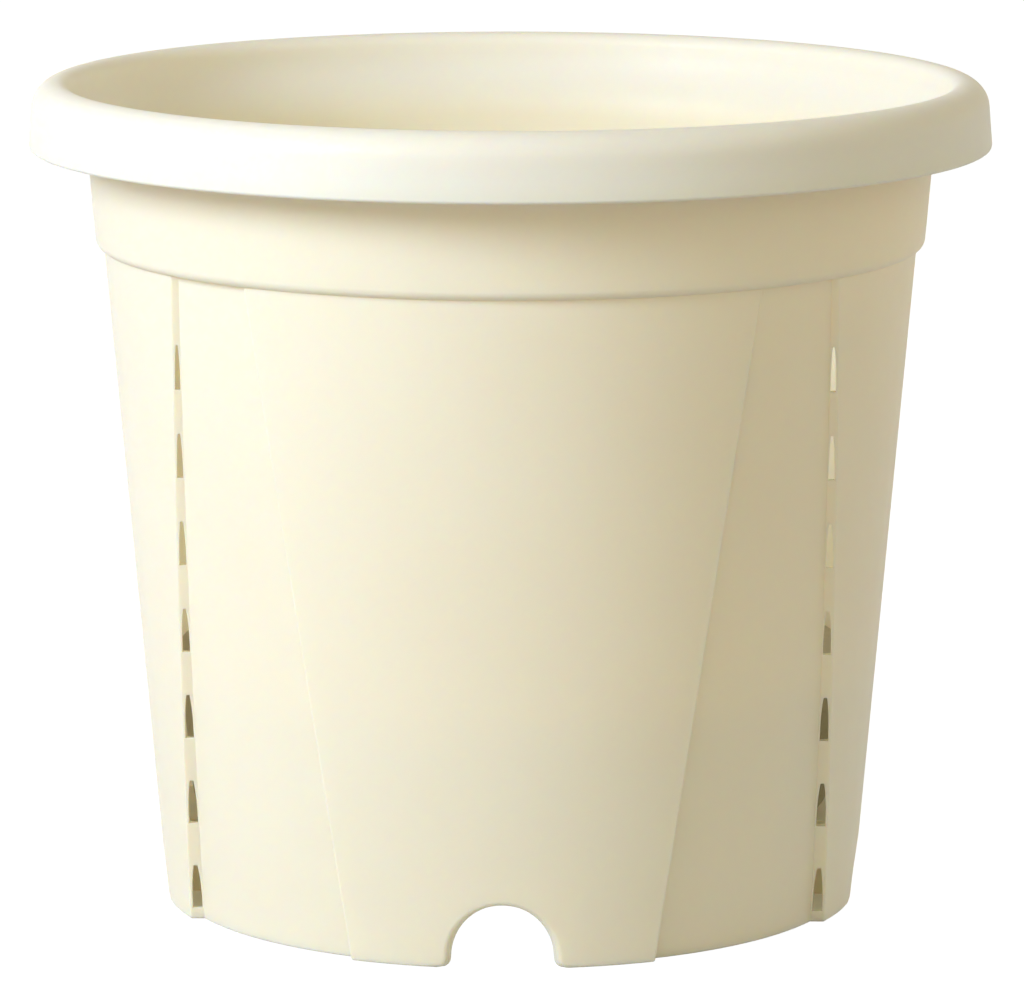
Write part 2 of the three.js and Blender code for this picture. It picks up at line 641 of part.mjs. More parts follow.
// Clear dome: a skirt over the sleeve, a seat on its end and a round roof above the tip's travel
function gaugeDome() {
  const skirt = SLEEVE_RADIUS + PUSH_GAP;
  const bore = TIP_RADIUS + SLIDE_GAP;
  const seat = sleeveTop + SEAT_GAP;
  const roofZ = domeRoof - bore / 2;
  return revolve([
    [skirt, sleeveTop - DOME_SKIRT],
    [skirt + DOME_WALL, sleeveTop - DOME_SKIRT],
    ...crownPoints(roofZ, skirt + DOME_WALL, domeRoof + DOME_WALL - roofZ),
    ...crownPoints(roofZ, bore, domeRoof - roofZ).reverse(),
    [bore, seat],
    [skirt, seat],
  ], SMALL_SEGMENTS);
}

// Slotted cage clipped under the platform round the float
function floatCage() {
  const top = platformZ - SEAT_GAP;
  const wall = revolve([
    [CAGE_HOLE_RADIUS, cageZ],
    [CAGE_RADIUS, cageZ],
    [CAGE_RADIUS, top],
    [CAGE_RADIUS - CAGE_WALL, top],
    [CAGE_RADIUS - CAGE_WALL, cageZ + CAGE_WALL],
    [CAGE_HOLE_RADIUS, cageZ + CAGE_WALL],
  ], SMALL_SEGMENTS);
  const inner = CAGE_RADIUS - 2 * CAGE_WALL;
  const [outer, sill, head] = [CAGE_RADIUS + CUT, cageZ + CAGE_WINDOW_RISE, top - CAGE_BAND];
  return cut(wall, windows(CAGE_WINDOW_COUNT, CAGE_WINDOW_WIDTH, inner, outer, sill, head));
}

// Float with rounded edges and a socket for the rod
function gaugeFloat() {
  const top = floatZ + FLOAT_HEIGHT;
  const socket = ROD_RADIUS + SEAT_GAP;
  const side = FLOAT_RADIUS - FLOAT_EDGE;
  return revolve([
    [0, floatZ],
    ...arcPoints(side, floatZ + FLOAT_EDGE, FLOAT_EDGE, -Math.PI / 2, 0, EDGE_STEPS),
    ...arcPoints(side, top - FLOAT_EDGE, FLOAT_EDGE, 0, Math.PI / 2, EDGE_STEPS),
    [socket, top],
    [socket, top - ROD_SOCKET],
    [0, top - ROD_SOCKET],
  ], SMALL_SEGMENTS);
}

function gaugeRod() {
  const low = floatZ + FLOAT_HEIGHT - ROD_SOCKET + SEAT_GAP;
  return post(ROD_RADIUS, low, tipZ + TIP_SOCKET - SEAT_GAP);
}

// Indicator tip: a round-topped button on the end of the rod
function gaugeTip() {
  const socket = ROD_RADIUS + SEAT_GAP;
  const crown = TIP_RADIUS / 2;
  return revolve([
    [0, tipZ + TIP_SOCKET],
    [socket, tipZ + TIP_SOCKET],
    [socket, tipZ],
    [TIP_RADIUS, tipZ],
    ...crownPoints(tipZ + TIP_HEIGHT - crown, TIP_RADIUS, crown),
  ], SMALL_SEGMENTS);
}

// Finishes
const finishes = {
  cream: { color: 0xf0e8cf, roughness: 0.5, metalness: 0 },
  charcoal: { color: 0x3a3a38, roughness: 0.6, metalness: 0 },
  rubber: { color: 0x1d1d1d, roughness: 0.85, metalness: 0 },
  clear: { color: 0xe8f0f0, roughness: 0.1, metalness: 0, transparent: true, opacity: 0.35 },
  foam: { color: 0xf4f4f0, roughness: 0.9, metalness: 0 },
  white: { color: 0xf2f2f2, roughness: 0.4, metalness: 0 },
  red: { color: 0xc8281e, roughness: 0.35, metalness: 0 },
  steel: { color: 0xb8bcc0, roughness: 0.3, metalness: 1 },
};

function piece(name, shape, finish) {
  const mesh = new THREE.Mesh(geometryOf(solid(shape)), new THREE.MeshStandardMaterial(finishes[finish]));
  mesh.name = name;
  return mesh;
}

function groupAt(x, y, pieces) {
  const group = new THREE.Group();
  group.position.set(x, y, 0);
  group.add(...pieces);
  return group;
}

const { cups, fill, gauge } = sockets();
const pot = new THREE.Group();
pot.add(
  piece('pot_rim', potRim(), 'cream'),
  piece('pot_wall', potWall(), 'cream'),
  piece('pot_floor', potFloor(), 'cream'),
  piece('reservoir_tray', reservoirTray(), 'charcoal'),
  piece('drain_plug', drainPlug(), 'rubber'),
  piece('soil_platform', soilPlatform(), 'charcoal'),
  ...cups.map(({ x, y }, k) => groupAt(x, y, [piece(`wicking_cup_${k + 1}`, wickingCup(), 'charcoal')])),
  groupAt(fill.x, fill.y, [
    piece('fill_tube', fillTube(), 'cream'),
    piece('fill_cap', fillCap(), 'charcoal'),
    piece('fill_cap_pin', fillCapPin(), 'steel'),
  ]),
  groupAt(gauge.x, gauge.y, [
    piece('gauge_sleeve', gaugeSleeve(), 'cream'),
    piece('gauge_dome', gaugeDome(), 'clear'),
    piece('float_cage', floatCage(), 'charcoal'),
    piece('gauge_float', gaugeFloat(), 'foam'),
    piece('gauge_rod', gaugeRod(), 'white'),
    piece('gauge_tip', gaugeTip(), 'red'),
  ]),
);

export default pot;
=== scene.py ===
"""Looks of a self-watering plant pot: a slit-sided cream shell round a stone-coloured insert.

Sizes are in millimetres, and meshes are scaled to metres as they are made. The frame gives the places.
"""
import math
from collections import namedtuple

import bmesh
import bpy
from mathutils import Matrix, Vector


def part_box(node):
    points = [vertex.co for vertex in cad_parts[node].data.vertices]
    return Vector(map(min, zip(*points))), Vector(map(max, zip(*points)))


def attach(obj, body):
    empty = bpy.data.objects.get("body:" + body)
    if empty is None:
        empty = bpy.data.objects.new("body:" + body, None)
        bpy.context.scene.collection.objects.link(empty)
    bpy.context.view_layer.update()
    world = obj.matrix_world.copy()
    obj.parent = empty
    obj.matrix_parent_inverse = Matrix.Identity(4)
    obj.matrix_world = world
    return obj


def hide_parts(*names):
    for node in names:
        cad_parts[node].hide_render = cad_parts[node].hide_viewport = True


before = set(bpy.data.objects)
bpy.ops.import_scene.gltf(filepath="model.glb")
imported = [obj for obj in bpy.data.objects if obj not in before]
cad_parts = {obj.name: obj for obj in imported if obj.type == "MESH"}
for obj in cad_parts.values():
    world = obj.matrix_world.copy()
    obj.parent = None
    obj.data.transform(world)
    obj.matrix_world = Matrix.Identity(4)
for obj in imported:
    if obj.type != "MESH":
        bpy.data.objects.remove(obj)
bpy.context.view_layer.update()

MM = 0.001


def box_mm(node):
    """Lowest and highest corner of a CAD node, in millimetres."""
    low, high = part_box(node)
    return low / MM, high / MM


# Outer pot, as in the solids
RIM_LOW, RIM_HIGH = box_mm("pot_rim")
POT_HEIGHT = RIM_HIGH.z
COLLAR_Z = RIM_LOW.z
RIM_RADIUS = RIM_HIGH.x
WALL = 2.5
RIM_BAND = 22.7
RIM_DRAFT = 1.0
RIM_SHOULDER = 9.0
RIM_LIP = 4.5
RIM_FLARE = 26.0
RIM_FLARE_EASE = 0.4
RIM_EDGE = 1.2
RIM_ROUND_POINT = 0.12
COLLAR_RADIUS = 143.4
COLLAR_FLARE = 2.6
COLLAR_EDGE = 3.5
COLLAR_EDGE_START = -72.0
LEG_COUNT = 4
LEG_RADIUS_BASE, LEG_RADIUS_TOP = 120.5, 140.4
LEG_WIDTH_BASE, LEG_WIDTH_TOP = 51.0, 85.5
STEP_BASE, STEP_TOP = 4.2, 1.8
SLOT_START = 4.1
SLOT_PITCH = 30.87
SLOT_LENGTH = 15.5
SLOT_COUNT = 7
SLOT_TOP_SHARE = 0.4
SLOT_CURVE = 3
SLOT_LIP = 0.35
SLOT_ROOT = 0.2
ARCH_HALF_WIDTH = 18.5
ARCH_HEIGHT = 22.0
ARCH_CORNER = 3.5
ARCH_ROUND = 1.8
FOOT_ROUND = 0.8
INNER_ROUND = 0.4
FLOOR_EDGE = 0.5

# Insert, as in the solids
SEAT_GAP = 0.3
PUSH_GAP = 0.4
SLIDE_GAP = 0.5
FLANGE = 3.0
TRAY_LOW, TRAY_HIGH = box_mm("reservoir_tray")
TRAY_WALL = 2.2
TRAY_EDGE = 6.0
TRAY_CLEARANCE = 6.0
OVERFLOW_WIDTH, OVERFLOW_HEIGHT, OVERFLOW_DROP = 16.0, 4.0, 20.0
PLUG_LOW, PLUG_HIGH = box_mm("drain_plug")
PLUG_HOLE = 8.0
PLUG_FLANGE = 3.0
PLUG_NECK = 4.0
PLUG_KNOB = 7.0
PLUG_KNOB_START = -60.0
PLATFORM_LOW, PLATFORM_HIGH = box_mm("soil_platform")
PLATFORM_THICKNESS = 3.0
PLATFORM_Z = PLATFORM_HIGH.z - PLATFORM_THICKNESS
SKIRT_WALL = 2.0
LOOSE_GAP = 1.0
AIR_SLOT_LENGTH, AIR_SLOT_WIDTH = 16.0, 3.6
AIR_SLOT_PITCH, AIR_SLOT_MARGIN = 18.0, 3.0
AIR_RING_START, AIR_RING_PITCH = 18.0, 21.0
CUP_COUNT = 4
CUP_RADIUS, CUP_BASE_RADIUS = 22.0, 17.0
CUP_WALL = 2.0
CUP_FLANGE = 4.0
CUP_HOLE = 5.0
CUP_WINDOWS = 6
CUP_WINDOW_WIDTH, CUP_WINDOW_HEIGHT, CUP_WINDOW_RISE = 4.0, 22.0, 6.0
TUBE_LOW, TUBE_HIGH = box_mm("fill_tube")
CAP_LOW, CAP_HIGH = box_mm("fill_cap")
FILL_RADIUS, FILL_WALL = 15.0, 2.5
FILL_FLANGE_RADIUS = 21.0
MOUTH_RADIUS, MOUTH_HEIGHT, MOUTH_FLARE = 18.5, 8.0, 9.0
EYE_RADIUS = 3.2
EAR_THICKNESS, EAR_DEPTH = 3.0, 11.0
KNUCKLE_LENGTH = 14.0
PIN_LOW, PIN_HIGH = box_mm("fill_cap_pin")
PIN_RADIUS, PIN_HEAD_RADIUS, PIN_HEAD, PIN_EDGE = 1.5, 2.5, 0.8, 0.3
CAP_THICKNESS, CAP_CROWN, CAP_OVERHANG = 3.0, 1.2, 0.8
CAP_SKIRT_DEPTH, CAP_SKIRT_WALL, CAP_SKIRT_CLEARANCE = 5.0, 1.6, 2.2
CAP_TAB_WIDTH, CAP_TAB_ROUND = 14.0, 4.0
SLEEVE_LOW, SLEEVE_HIGH = box_mm("gauge_sleeve")
SLEEVE_RADIUS, SLEEVE_WALL, SLEEVE_GUIDE = 9.0, 2.5, 6.0
SLEEVE_FLANGE_RADIUS = 14.0
DOME_LOW, DOME_HIGH = box_mm("gauge_dome")
DOME_WALL = 2.0
CAGE_LOW, CAGE_HIGH = box_mm("float_cage")
CAGE_WALL, CAGE_HOLE = 2.0, 8.0
CAGE_WINDOWS = 6
CAGE_WINDOW_WIDTH, CAGE_WINDOW_RISE, CAGE_BAND = 6.0, 7.0, 12.0
CLIP_DEPTH, CLIP_WALL = 6.0, 2.0
FLOAT_LOW, FLOAT_HIGH = box_mm("gauge_float")
FLOAT_EDGE = 2.0
ROD_LOW, ROD_HIGH = box_mm("gauge_rod")
ROD_SOCKET = 10.0
TIP_LOW, TIP_HIGH = box_mm("gauge_tip")
TIP_SOCKET = 6.0

FILL_X = TUBE_HIGH.x - FILL_FLANGE_RADIUS
GAUGE_X = (SLEEVE_LOW.x + SLEEVE_HIGH.x) / 2
HINGE_X = (PIN_LOW.x + PIN_HIGH.x) / 2
CAP_Z = CAP_LOW.z + CAP_SKIRT_DEPTH
HINGE_Z = CAP_Z + CAP_THICKNESS / 2
FILL_TOP = CAP_Z - SEAT_GAP
SLEEVE_TOP = SLEEVE_HIGH.z
FLANGE_Z = PLATFORM_HIGH.z + SEAT_GAP

# Facets round turned pieces, from large to thin, and along their rounded edges, ends, bends and crowns
TURN_STEPS = 96
CUP_STEPS = 64
ROD_STEPS = 32
ROUND_STEPS = 4
END_STEPS = 6
BEND_STEPS = 8
CROWN_STEPS = 10
EYE_STEPS = 12

# How a mesh is cleaned: metres between points that merge, the angle of an edge that stays sharp
MERGE_DISTANCE = 1e-7
SHARP_ANGLE = math.radians(35)

# How an outline's corner is rounded: the least turn that counts, the share of a side that it may take
LEAST_TURN = math.radians(20)
CORNER_SHARE = 0.4
SAME_POINT = 1e-4

# How far a cutter goes past what it cuts
CUT_OVER = 1.0


def mix(a, b, share):
    return a + (b - a) * share


def leg_radius(z):
    return mix(LEG_RADIUS_BASE, LEG_RADIUS_TOP, z / COLLAR_Z)


def panel_radius(z):
    return leg_radius(z) - mix(STEP_BASE, STEP_TOP, z / COLLAR_Z)


def leg_half_width(z):
    return mix(LEG_WIDTH_BASE, LEG_WIDTH_TOP, z / COLLAR_Z)


def tray_radius(z):
    return panel_radius(z) - WALL - TRAY_CLEARANCE


# Meshes

def new_object(name, verts, faces):
    """Object from corners in millimetres, with its normals outward and its smooth edges shaded smooth."""
    mesh = bpy.data.meshes.new(name)
    mesh.from_pydata([Vector(v) * MM for v in verts], [], faces)
    piece = bpy.data.objects.new(name, mesh)
    bpy.context.scene.collection.objects.link(piece)
    tidy_mesh(mesh)
    return piece


def tidy_mesh(mesh):
    work = bmesh.new()
    work.from_mesh(mesh)
    bmesh.ops.remove_doubles(work, verts=work.verts, dist=MERGE_DISTANCE)
    bmesh.ops.recalc_face_normals(work, faces=work.faces)
    work.to_mesh(mesh)
    work.free()
    mesh.shade_smooth()
    mesh.set_sharp_from_angle(angle=SHARP_ANGLE)


def arc(cx, cz, radius, start, end, steps):
    """Points of an arc in radius and height, angles in degrees."""
    angles = [math.radians(mix(start, end, k / steps)) for k in range(steps + 1)]
    return [(cx + radius * math.cos(a), cz + radius * math.sin(a)) for a in angles]


def rounded(profile, radius, closed=True):
    """Outline with its corners rounded, each by at most what its two sides allow."""
    points = [Vector(p) for p in profile]
    result = []
    for k, here in enumerate(points):
        if not closed and k in (0, len(points) - 1):
            result.append(tuple(here))
            continue
        back = points[k - 1] - here
        ahead = points[(k + 1) % len(points)] - here
        angle = back.angle(ahead)
        turn = math.pi - angle
        if turn < LEAST_TURN:
            result.append(tuple(here))
            continue
        side = CORNER_SHARE * min(back.length, ahead.length)
        reach = min(radius / math.tan(angle / 2), side)
        first, last = here + back.normalized() * reach, here + ahead.normalized() * reach
        for step in range(ROUND_STEPS + 1):
            share = step / ROUND_STEPS
            result.append(tuple(first.lerp(here, share).lerp(here.lerp(last, share), share)))
    return result


def turned_parts(profile, x=0.0, y=0.0, steps=TURN_STEPS):
    """Corners and faces of a profile turned about an upright axis. An end on the axis closes to a point."""
    on_axis = profile[0][0] == 0 and profile[-1][0] == 0
    inner = profile[1:-1] if on_axis else profile
    verts, faces = [], []
    for k in range(steps):
        angle = 2 * math.pi * k / steps
        verts += [(x + r * math.cos(angle), y + r * math.sin(angle), z) for r, z in inner]
    count = len(inner)
    spans = count - 1 if on_axis else count
    for k in range(steps):
        a, b = k * count, ((k + 1) % steps) * count
        for j in range(spans):
            n = (j + 1) % count
            faces.append((a + j, b + j, b + n, a + n))
    if on_axis:
        low, high = len(verts), len(verts) + 1
        verts += [(x, y, profile[0][1]), (x, y, profile[-1][1])]
        for k in range(steps):
            a, b = k * count, ((k + 1) % steps) * count
            faces.append((low, b, a))
            faces.append((a + count - 1, b + count - 1, high))
    return verts, faces


def turned(name, profile, x=0.0, y=0.0, edge=0.4, steps=TURN_STEPS):
    closed = not (profile[0][0] == 0 and profile[-1][0] == 0)
    return new_object(name, *turned_parts(rounded(profile, edge, closed), x, y, steps))


def prism_parts(outline, low, high, place):
    """Corners and faces of an outline pushed from one depth to another.

    place maps (u, v, depth) to a corner.
    """
    count = len(outline)
    verts = [place(u, v, low) for u, v in outline] + [place(u, v, high) for u, v in outline]
    faces = [tuple(range(count))[::-1], tuple(range(count, 2 * count))]
    faces += [(k, (k + 1) % count, (k + 1) % count + count, k + count) for k in range(count)]
    return verts, faces


def upright(u, v, depth):
    """Corner of an outline that stands across Y."""
    return (u, depth, v)


def flat(u, v, depth):
    """Corner of an outline that lies level."""
    return (u, v, depth)


def merged(*parts):
    """Several sets of corners and faces as one."""
    verts, faces = [], []
    for more_verts, more_faces in parts:
        start = len(verts)
        verts += more_verts
        faces += [tuple(start + v for v in face) for face in more_faces]
    return verts, faces


def combine(piece, kind, parts):
    """Joins a set of corners and faces to a piece, or cuts it away."""
    tool = new_object("tool", *parts)
    change = piece.modifiers.new("combine", "BOOLEAN")
    change.operation = kind
    change.solver = "EXACT"
    change.object = tool
    bpy.context.view_layer.update()
    made = piece.evaluated_get(bpy.context.evaluated_depsgraph_get())
    mesh = bpy.data.meshes.new_from_object(made)
    piece.modifiers.clear()
    old, piece.data = piece.data, mesh
    mesh.name = piece.name
    bpy.data.meshes.remove(old)
    bpy.data.objects.remove(tool)
    tidy_mesh(mesh)


def soften(piece, width):
    """Rounds the edges that are still sharp."""
    bevel = piece.modifiers.new("edges", "BEVEL")
    bevel.width = width * MM
    bevel.segments = 2
    bevel.limit_method = "ANGLE"
    bevel.angle_limit = math.radians(40)
    bevel.harden_normals = False


def radial_windows(count, width, inner, outer, low, high, x=0.0, y=0.0, start=0.0):
    """Cutters with round ends that point out from an axis, spread evenly about it."""
    half, middle = width / 2, (low + high) / 2
    rise = (high - low) / 2
    round_end = min(half, rise)
    corners = ((1, -1, -90), (1, 1, 0), (-1, 1, 90), (-1, -1, 180))
    outline = []
    for side, up, first in corners:
        cu, cv = side * (half - round_end), middle + up * (rise - round_end)
        outline += arc(cu, cv, round_end, first, first + 90, ROUND_STEPS)
    parts = []
    for k in range(count):
        angle = start + 2 * math.pi * k / count
        ca, sa = math.cos(angle), math.sin(angle)

        def place(u, v, depth, ca=ca, sa=sa):
            return (x + depth * ca - u * sa, y + depth * sa + u * ca, v)

        parts.append(prism_parts(distinct(outline), inner, outer, place))
    return merged(*parts)


def distinct(outline):
    """Outline without neighbours that coincide."""
    kept = []
    for point in outline:
        if not kept or (Vector(point) - Vector(kept[-1])).length > SAME_POINT:
            kept.append(point)
    if (Vector(kept[0]) - Vector(kept[-1])).length < SAME_POINT:
        kept.pop()
    return kept


# Outer pot

# A face of the wall: its inset, where its leg ends before the step, and the rounding at the step's foot
Skin = namedtuple("Skin", "inset lip root")
OUTSIDE = Skin(0.0, 0.8, 0.3)
INSIDE = Skin(WALL, 2.3, 0.8)

# Columns across half a leg and half a recessed panel, and the leg column where an arch's patch ends
LEG_SHARES = [0.08 * k for k in range(12)] + [0.94, 0.98, 1.0]
PANEL_SHARES = (0.04, 0.12, 0.25, 0.4, 0.55, 0.7, 0.85, 1.0)
ROUND_ANGLES = (30, 60, 90)
INNER_SHARES = (0.3, 0.6, 0.9)
PATCH_COLUMN = 8
SLOT_COLUMN = len(LEG_SHARES) + len(ROUND_ANGLES)

# Rows at the foot, where its edge is rounded, and across an arch's patch, as distances from the edge
FOOT_ROWS = (0.0, 0.1, 0.3, FOOT_ROUND, 3.5)
SLOT_SHARES = (0.0, 0.3, 0.55, 0.75, 0.9, 1.0)
PATCH_TOP = 30.0
PATCH_ROWS = (0.0, 0.15, 0.45, 0.95, ARCH_ROUND)
PATCH_SPREAD = (0.25, 0.5, 0.75, 1.0)
ARCH_SAMPLES = 120

# Rows up the collar, inside and outside, and facets along the rim's curves
COLLAR_ROWS = (0.1, 0.5, 0.9)
COLLAR_OUTER_ROWS = (0.3, 0.7)
FLARE_STEPS, LIP_STEPS, SHOULDER_STEPS, RIM_EDGE_STEPS = 10, 5, 9, 4


def edge_inset(distance, radius):
    """How far a rounded edge draws in, at a distance from the edge."""
    gap = max(0.0, radius - distance)
    return radius - math.sqrt(radius ** 2 - gap ** 2)


def thicker(skin, more):
    return skin._replace(inset=skin.inset + more)


def leg_point(z, share, skin):
    """Point of a leg panel: along the leg's own direction, and across it."""
    across = share * (leg_half_width(z) - skin.inset - skin.lip)
    radius = leg_radius(z) - skin.inset
    return math.sqrt(radius ** 2 - across ** 2), across


def slot_share(z):
    """Width of a slot at a height, as a share of its width below: it comes to a point like an arch's."""
    phase = (z - SLOT_START) % SLOT_PITCH
    if phase <= SLOT_LENGTH:
        return mix(1.0, SLOT_TOP_SHARE, (phase / SLOT_LENGTH) ** SLOT_CURVE)
    return mix(SLOT_TOP_SHARE, 1.0, (phase - SLOT_LENGTH) / (SLOT_PITCH - SLOT_LENGTH))


def step_root(z, skin):
    """Where a step's face meets the rounding at its foot."""
    across = leg_half_width(z) - skin.inset + skin.root
    return math.sqrt((panel_radius(z) - skin.inset) ** 2 - across ** 2) + skin.root


def slot_edges(z):
    """Outer and inner edge of a step's slot, along the leg's own direction, straight through the wall."""
    high = leg_point(z, 1.0, OUTSIDE)[0] - OUTSIDE.lip - SLOT_LIP
    low = step_root(z, OUTSIDE) + SLOT_ROOT
    middle, half = (high + low) / 2, (high - low) / 2 * slot_share(z)
    return middle + half, middle - half


def half_section(z, skin):
    """Wall from the middle of a leg, over the step with its slot, to the middle of the next panel."""
    points = [leg_point(z, share, skin) for share in LEG_SHARES]
    side = leg_half_width(z) - skin.inset
    panel = panel_radius(z) - skin.inset
    radius = leg_radius(z) - skin.inset
    high, low = slot_edges(z)
    start, across = points[-1]
    if skin.inset < WALL / 2:
        for angle in map(math.radians, ROUND_ANGLES):
            points.append((start - skin.lip * (1 - math.cos(angle)), across + skin.lip * math.sin(angle)))
        points.append((high, side))
    else:
        end = min(side, math.sqrt(radius ** 2 - high ** 2))
        for share in INNER_SHARES:
            y = mix(across, end, share)
            points.append((math.sqrt(radius ** 2 - y ** 2), y))
        points.append((high, end))
    root = step_root(z, skin)
    points += [(low, side), (root, side)]
    for angle in map(math.radians, ROUND_ANGLES):
        points.append((root - skin.root * math.sin(angle), side + skin.root * (1 - math.cos(angle))))
    start = math.atan2(side + skin.root, root - skin.root)
    for share in PANEL_SHARES:
        angle = mix(start, math.pi / LEG_COUNT, share)
        points.append((panel * math.cos(angle), panel * math.sin(angle)))
    return points


HALF = len(half_section(0.0, OUTSIDE))
UNIT = 2 * HALF - 2


def leg_angle(leg):
    return 2 * math.pi * leg / LEG_COUNT - math.pi / 2


def turn(point, angle, z):
    x, y = point
    return (x * math.cos(angle) - y * math.sin(angle), x * math.sin(angle) + y * math.cos(angle), z)


def wall_ring(z, skin):
    """The wall's section all round, leg by leg, each from panel middle to panel middle."""
    half = half_section(z, skin)
    unit = [(x, -y) for x, y in reversed(half)] + half[1:-1]
    return [turn(p, leg_angle(leg), z) for leg in range(LEG_COUNT) for p in unit]


def wall_rows():
    """Heights of the wall's rows, each with whether a slot runs from it to the next."""
    rows = [(z, False) for z in FOOT_ROWS]
    for k in range(SLOT_COUNT):
        low = SLOT_START + k * SLOT_PITCH
        rows += [(low + SLOT_LENGTH * share, share < 1) for share in SLOT_SHARES]
        rows.append((PATCH_TOP if k == 0 else low + mix(SLOT_LENGTH, SLOT_PITCH, 0.5), False))
    return rows + [(COLLAR_Z - COLLAR_EDGE, False), (COLLAR_Z, False)]


class Sheet:
    """A wall with two faces: each of its points is a pair, one on the outside and one on the inside."""

    def __init__(self):
        self.outer, self.inner, self.faces, self.known = [], [], [], {}

    def point(self, outer, inner):
        key = tuple(round(v, 3) for v in outer + inner)
        if key not in self.known:
            self.known[key] = len(self.outer)
            self.outer.append(outer)
            self.inner.append(inner)
        return self.known[key]

    def parts(self):
        """Corners and faces of the closed wall: both faces, and the edges round every opening."""
        count = len(self.outer)
        faces = list(self.faces)
        faces += [tuple(v + count for v in reversed(face)) for face in self.faces]
        edges = {(f[k - 1], f[k]) for f in self.faces for k in range(len(f))}
        faces += [(b, a, a + count, b + count) for a, b in edges if (b, a) not in edges]
        return self.outer + self.inner, faces


def columns_from_middle(column):
    """How many whole columns lie between a cell of a leg's unit and the middle of the leg."""
    middle = HALF - 1
    return column - middle if column >= middle else middle - 1 - column


def add_wall(sheet):
    """Regular rows of the wall. Returns the last row's points."""
    rows = wall_rows()
    grid = []
    for z, _ in rows:
        outside = wall_ring(z, thicker(OUTSIDE, edge_inset(z, FOOT_ROUND)))
        inner_z = z + WALL if z == COLLAR_Z else z
        inside = wall_ring(inner_z, thicker(INSIDE, -edge_inset(z, INNER_ROUND)))
        grid.append(list(zip(outside, inside)))
    for (low, has_slot), lower, upper in zip(rows, grid, grid[1:]):
        for k in range(len(lower)):
            beside = columns_from_middle(k % UNIT)
            if has_slot and beside == SLOT_COLUMN or low < PATCH_TOP and beside < PATCH_COLUMN:
                continue
            n = (k + 1) % len(lower)
            sheet.faces.append(tuple(sheet.point(*p) for p in (lower[k], lower[n], upper[n], upper[k])))
    return grid[-1]


def arch_outline(steps):
    """Arch from the ground on its left to the ground on its right, across the leg and up."""
    spread = ARCH_HALF_WIDTH + ARCH_CORNER
    corner = arc(-spread, ARCH_CORNER, ARCH_CORNER, -90, 0, len(FOOT_ROWS) - 1)
    rise = ARCH_HEIGHT - ARCH_CORNER
    over = [math.pi * (1 - k / steps) for k in range(steps + 1)]
    crown = [(ARCH_HALF_WIDTH * math.cos(a), ARCH_CORNER + rise * math.sin(a)) for a in over]
    return corner + crown[1:-1] + [(-y, z) for y, z in reversed(corner)]


def patch_frame():
    """The patch's outer edge as shares of the leg's width and heights, in the order of the arch's outline."""
    heights = [z for z, _ in wall_rows() if z <= PATCH_TOP]
    side = LEG_SHARES[PATCH_COLUMN]
    left = [(-side, z) for z in heights]
    top = [(-share, PATCH_TOP) for share in reversed(LEG_SHARES[1:PATCH_COLUMN])]
    top += [(share, PATCH_TOP) for share in LEG_SHARES[:PATCH_COLUMN]]
    return left + top + [(side, z) for z in reversed(heights)]


def add_arch(sheet, leg):
    """Patch of wall round the arch of one leg, with the arch's edge rounded."""
    border = patch_frame()
    outline = arch_outline(len(border) - 1 - 2 * (len(FOOT_ROWS) - 1))
    edge = [Vector(p) for p in arch_outline(ARCH_SAMPLES)]

    def pair(across, z):
        share = across / (leg_half_width(z) - OUTSIDE.lip)
        away = min((Vector((across, z)) - p).length for p in edge)
        draw = max(edge_inset(away, ARCH_ROUND), edge_inset(z, FOOT_ROUND))
        inner_draw = max(edge_inset(away, INNER_ROUND), edge_inset(z, INNER_ROUND))
        outside = leg_point(z, share, thicker(OUTSIDE, draw))
        inside = leg_point(z, share, thicker(INSIDE, -inner_draw))
        return sheet.point(turn(outside, leg_angle(leg), z), turn(inside, leg_angle(leg), z))

    lines = []
    for (share, z), start in zip(border, map(Vector, outline)):
        end = Vector((share * (leg_half_width(z) - OUTSIDE.lip), z))
        length = (end - start).length
        near = [d / length for d in PATCH_ROWS]
        steps = near + [mix(near[-1], 1.0, share) for share in PATCH_SPREAD]
        lines.append([pair(*start.lerp(end, step)) for step in steps])
    for line, following in zip(lines, lines[1:]):
        for k in range(len(line) - 1):
            sheet.faces.append((line[k], following[k], following[k + 1], line[k + 1]))


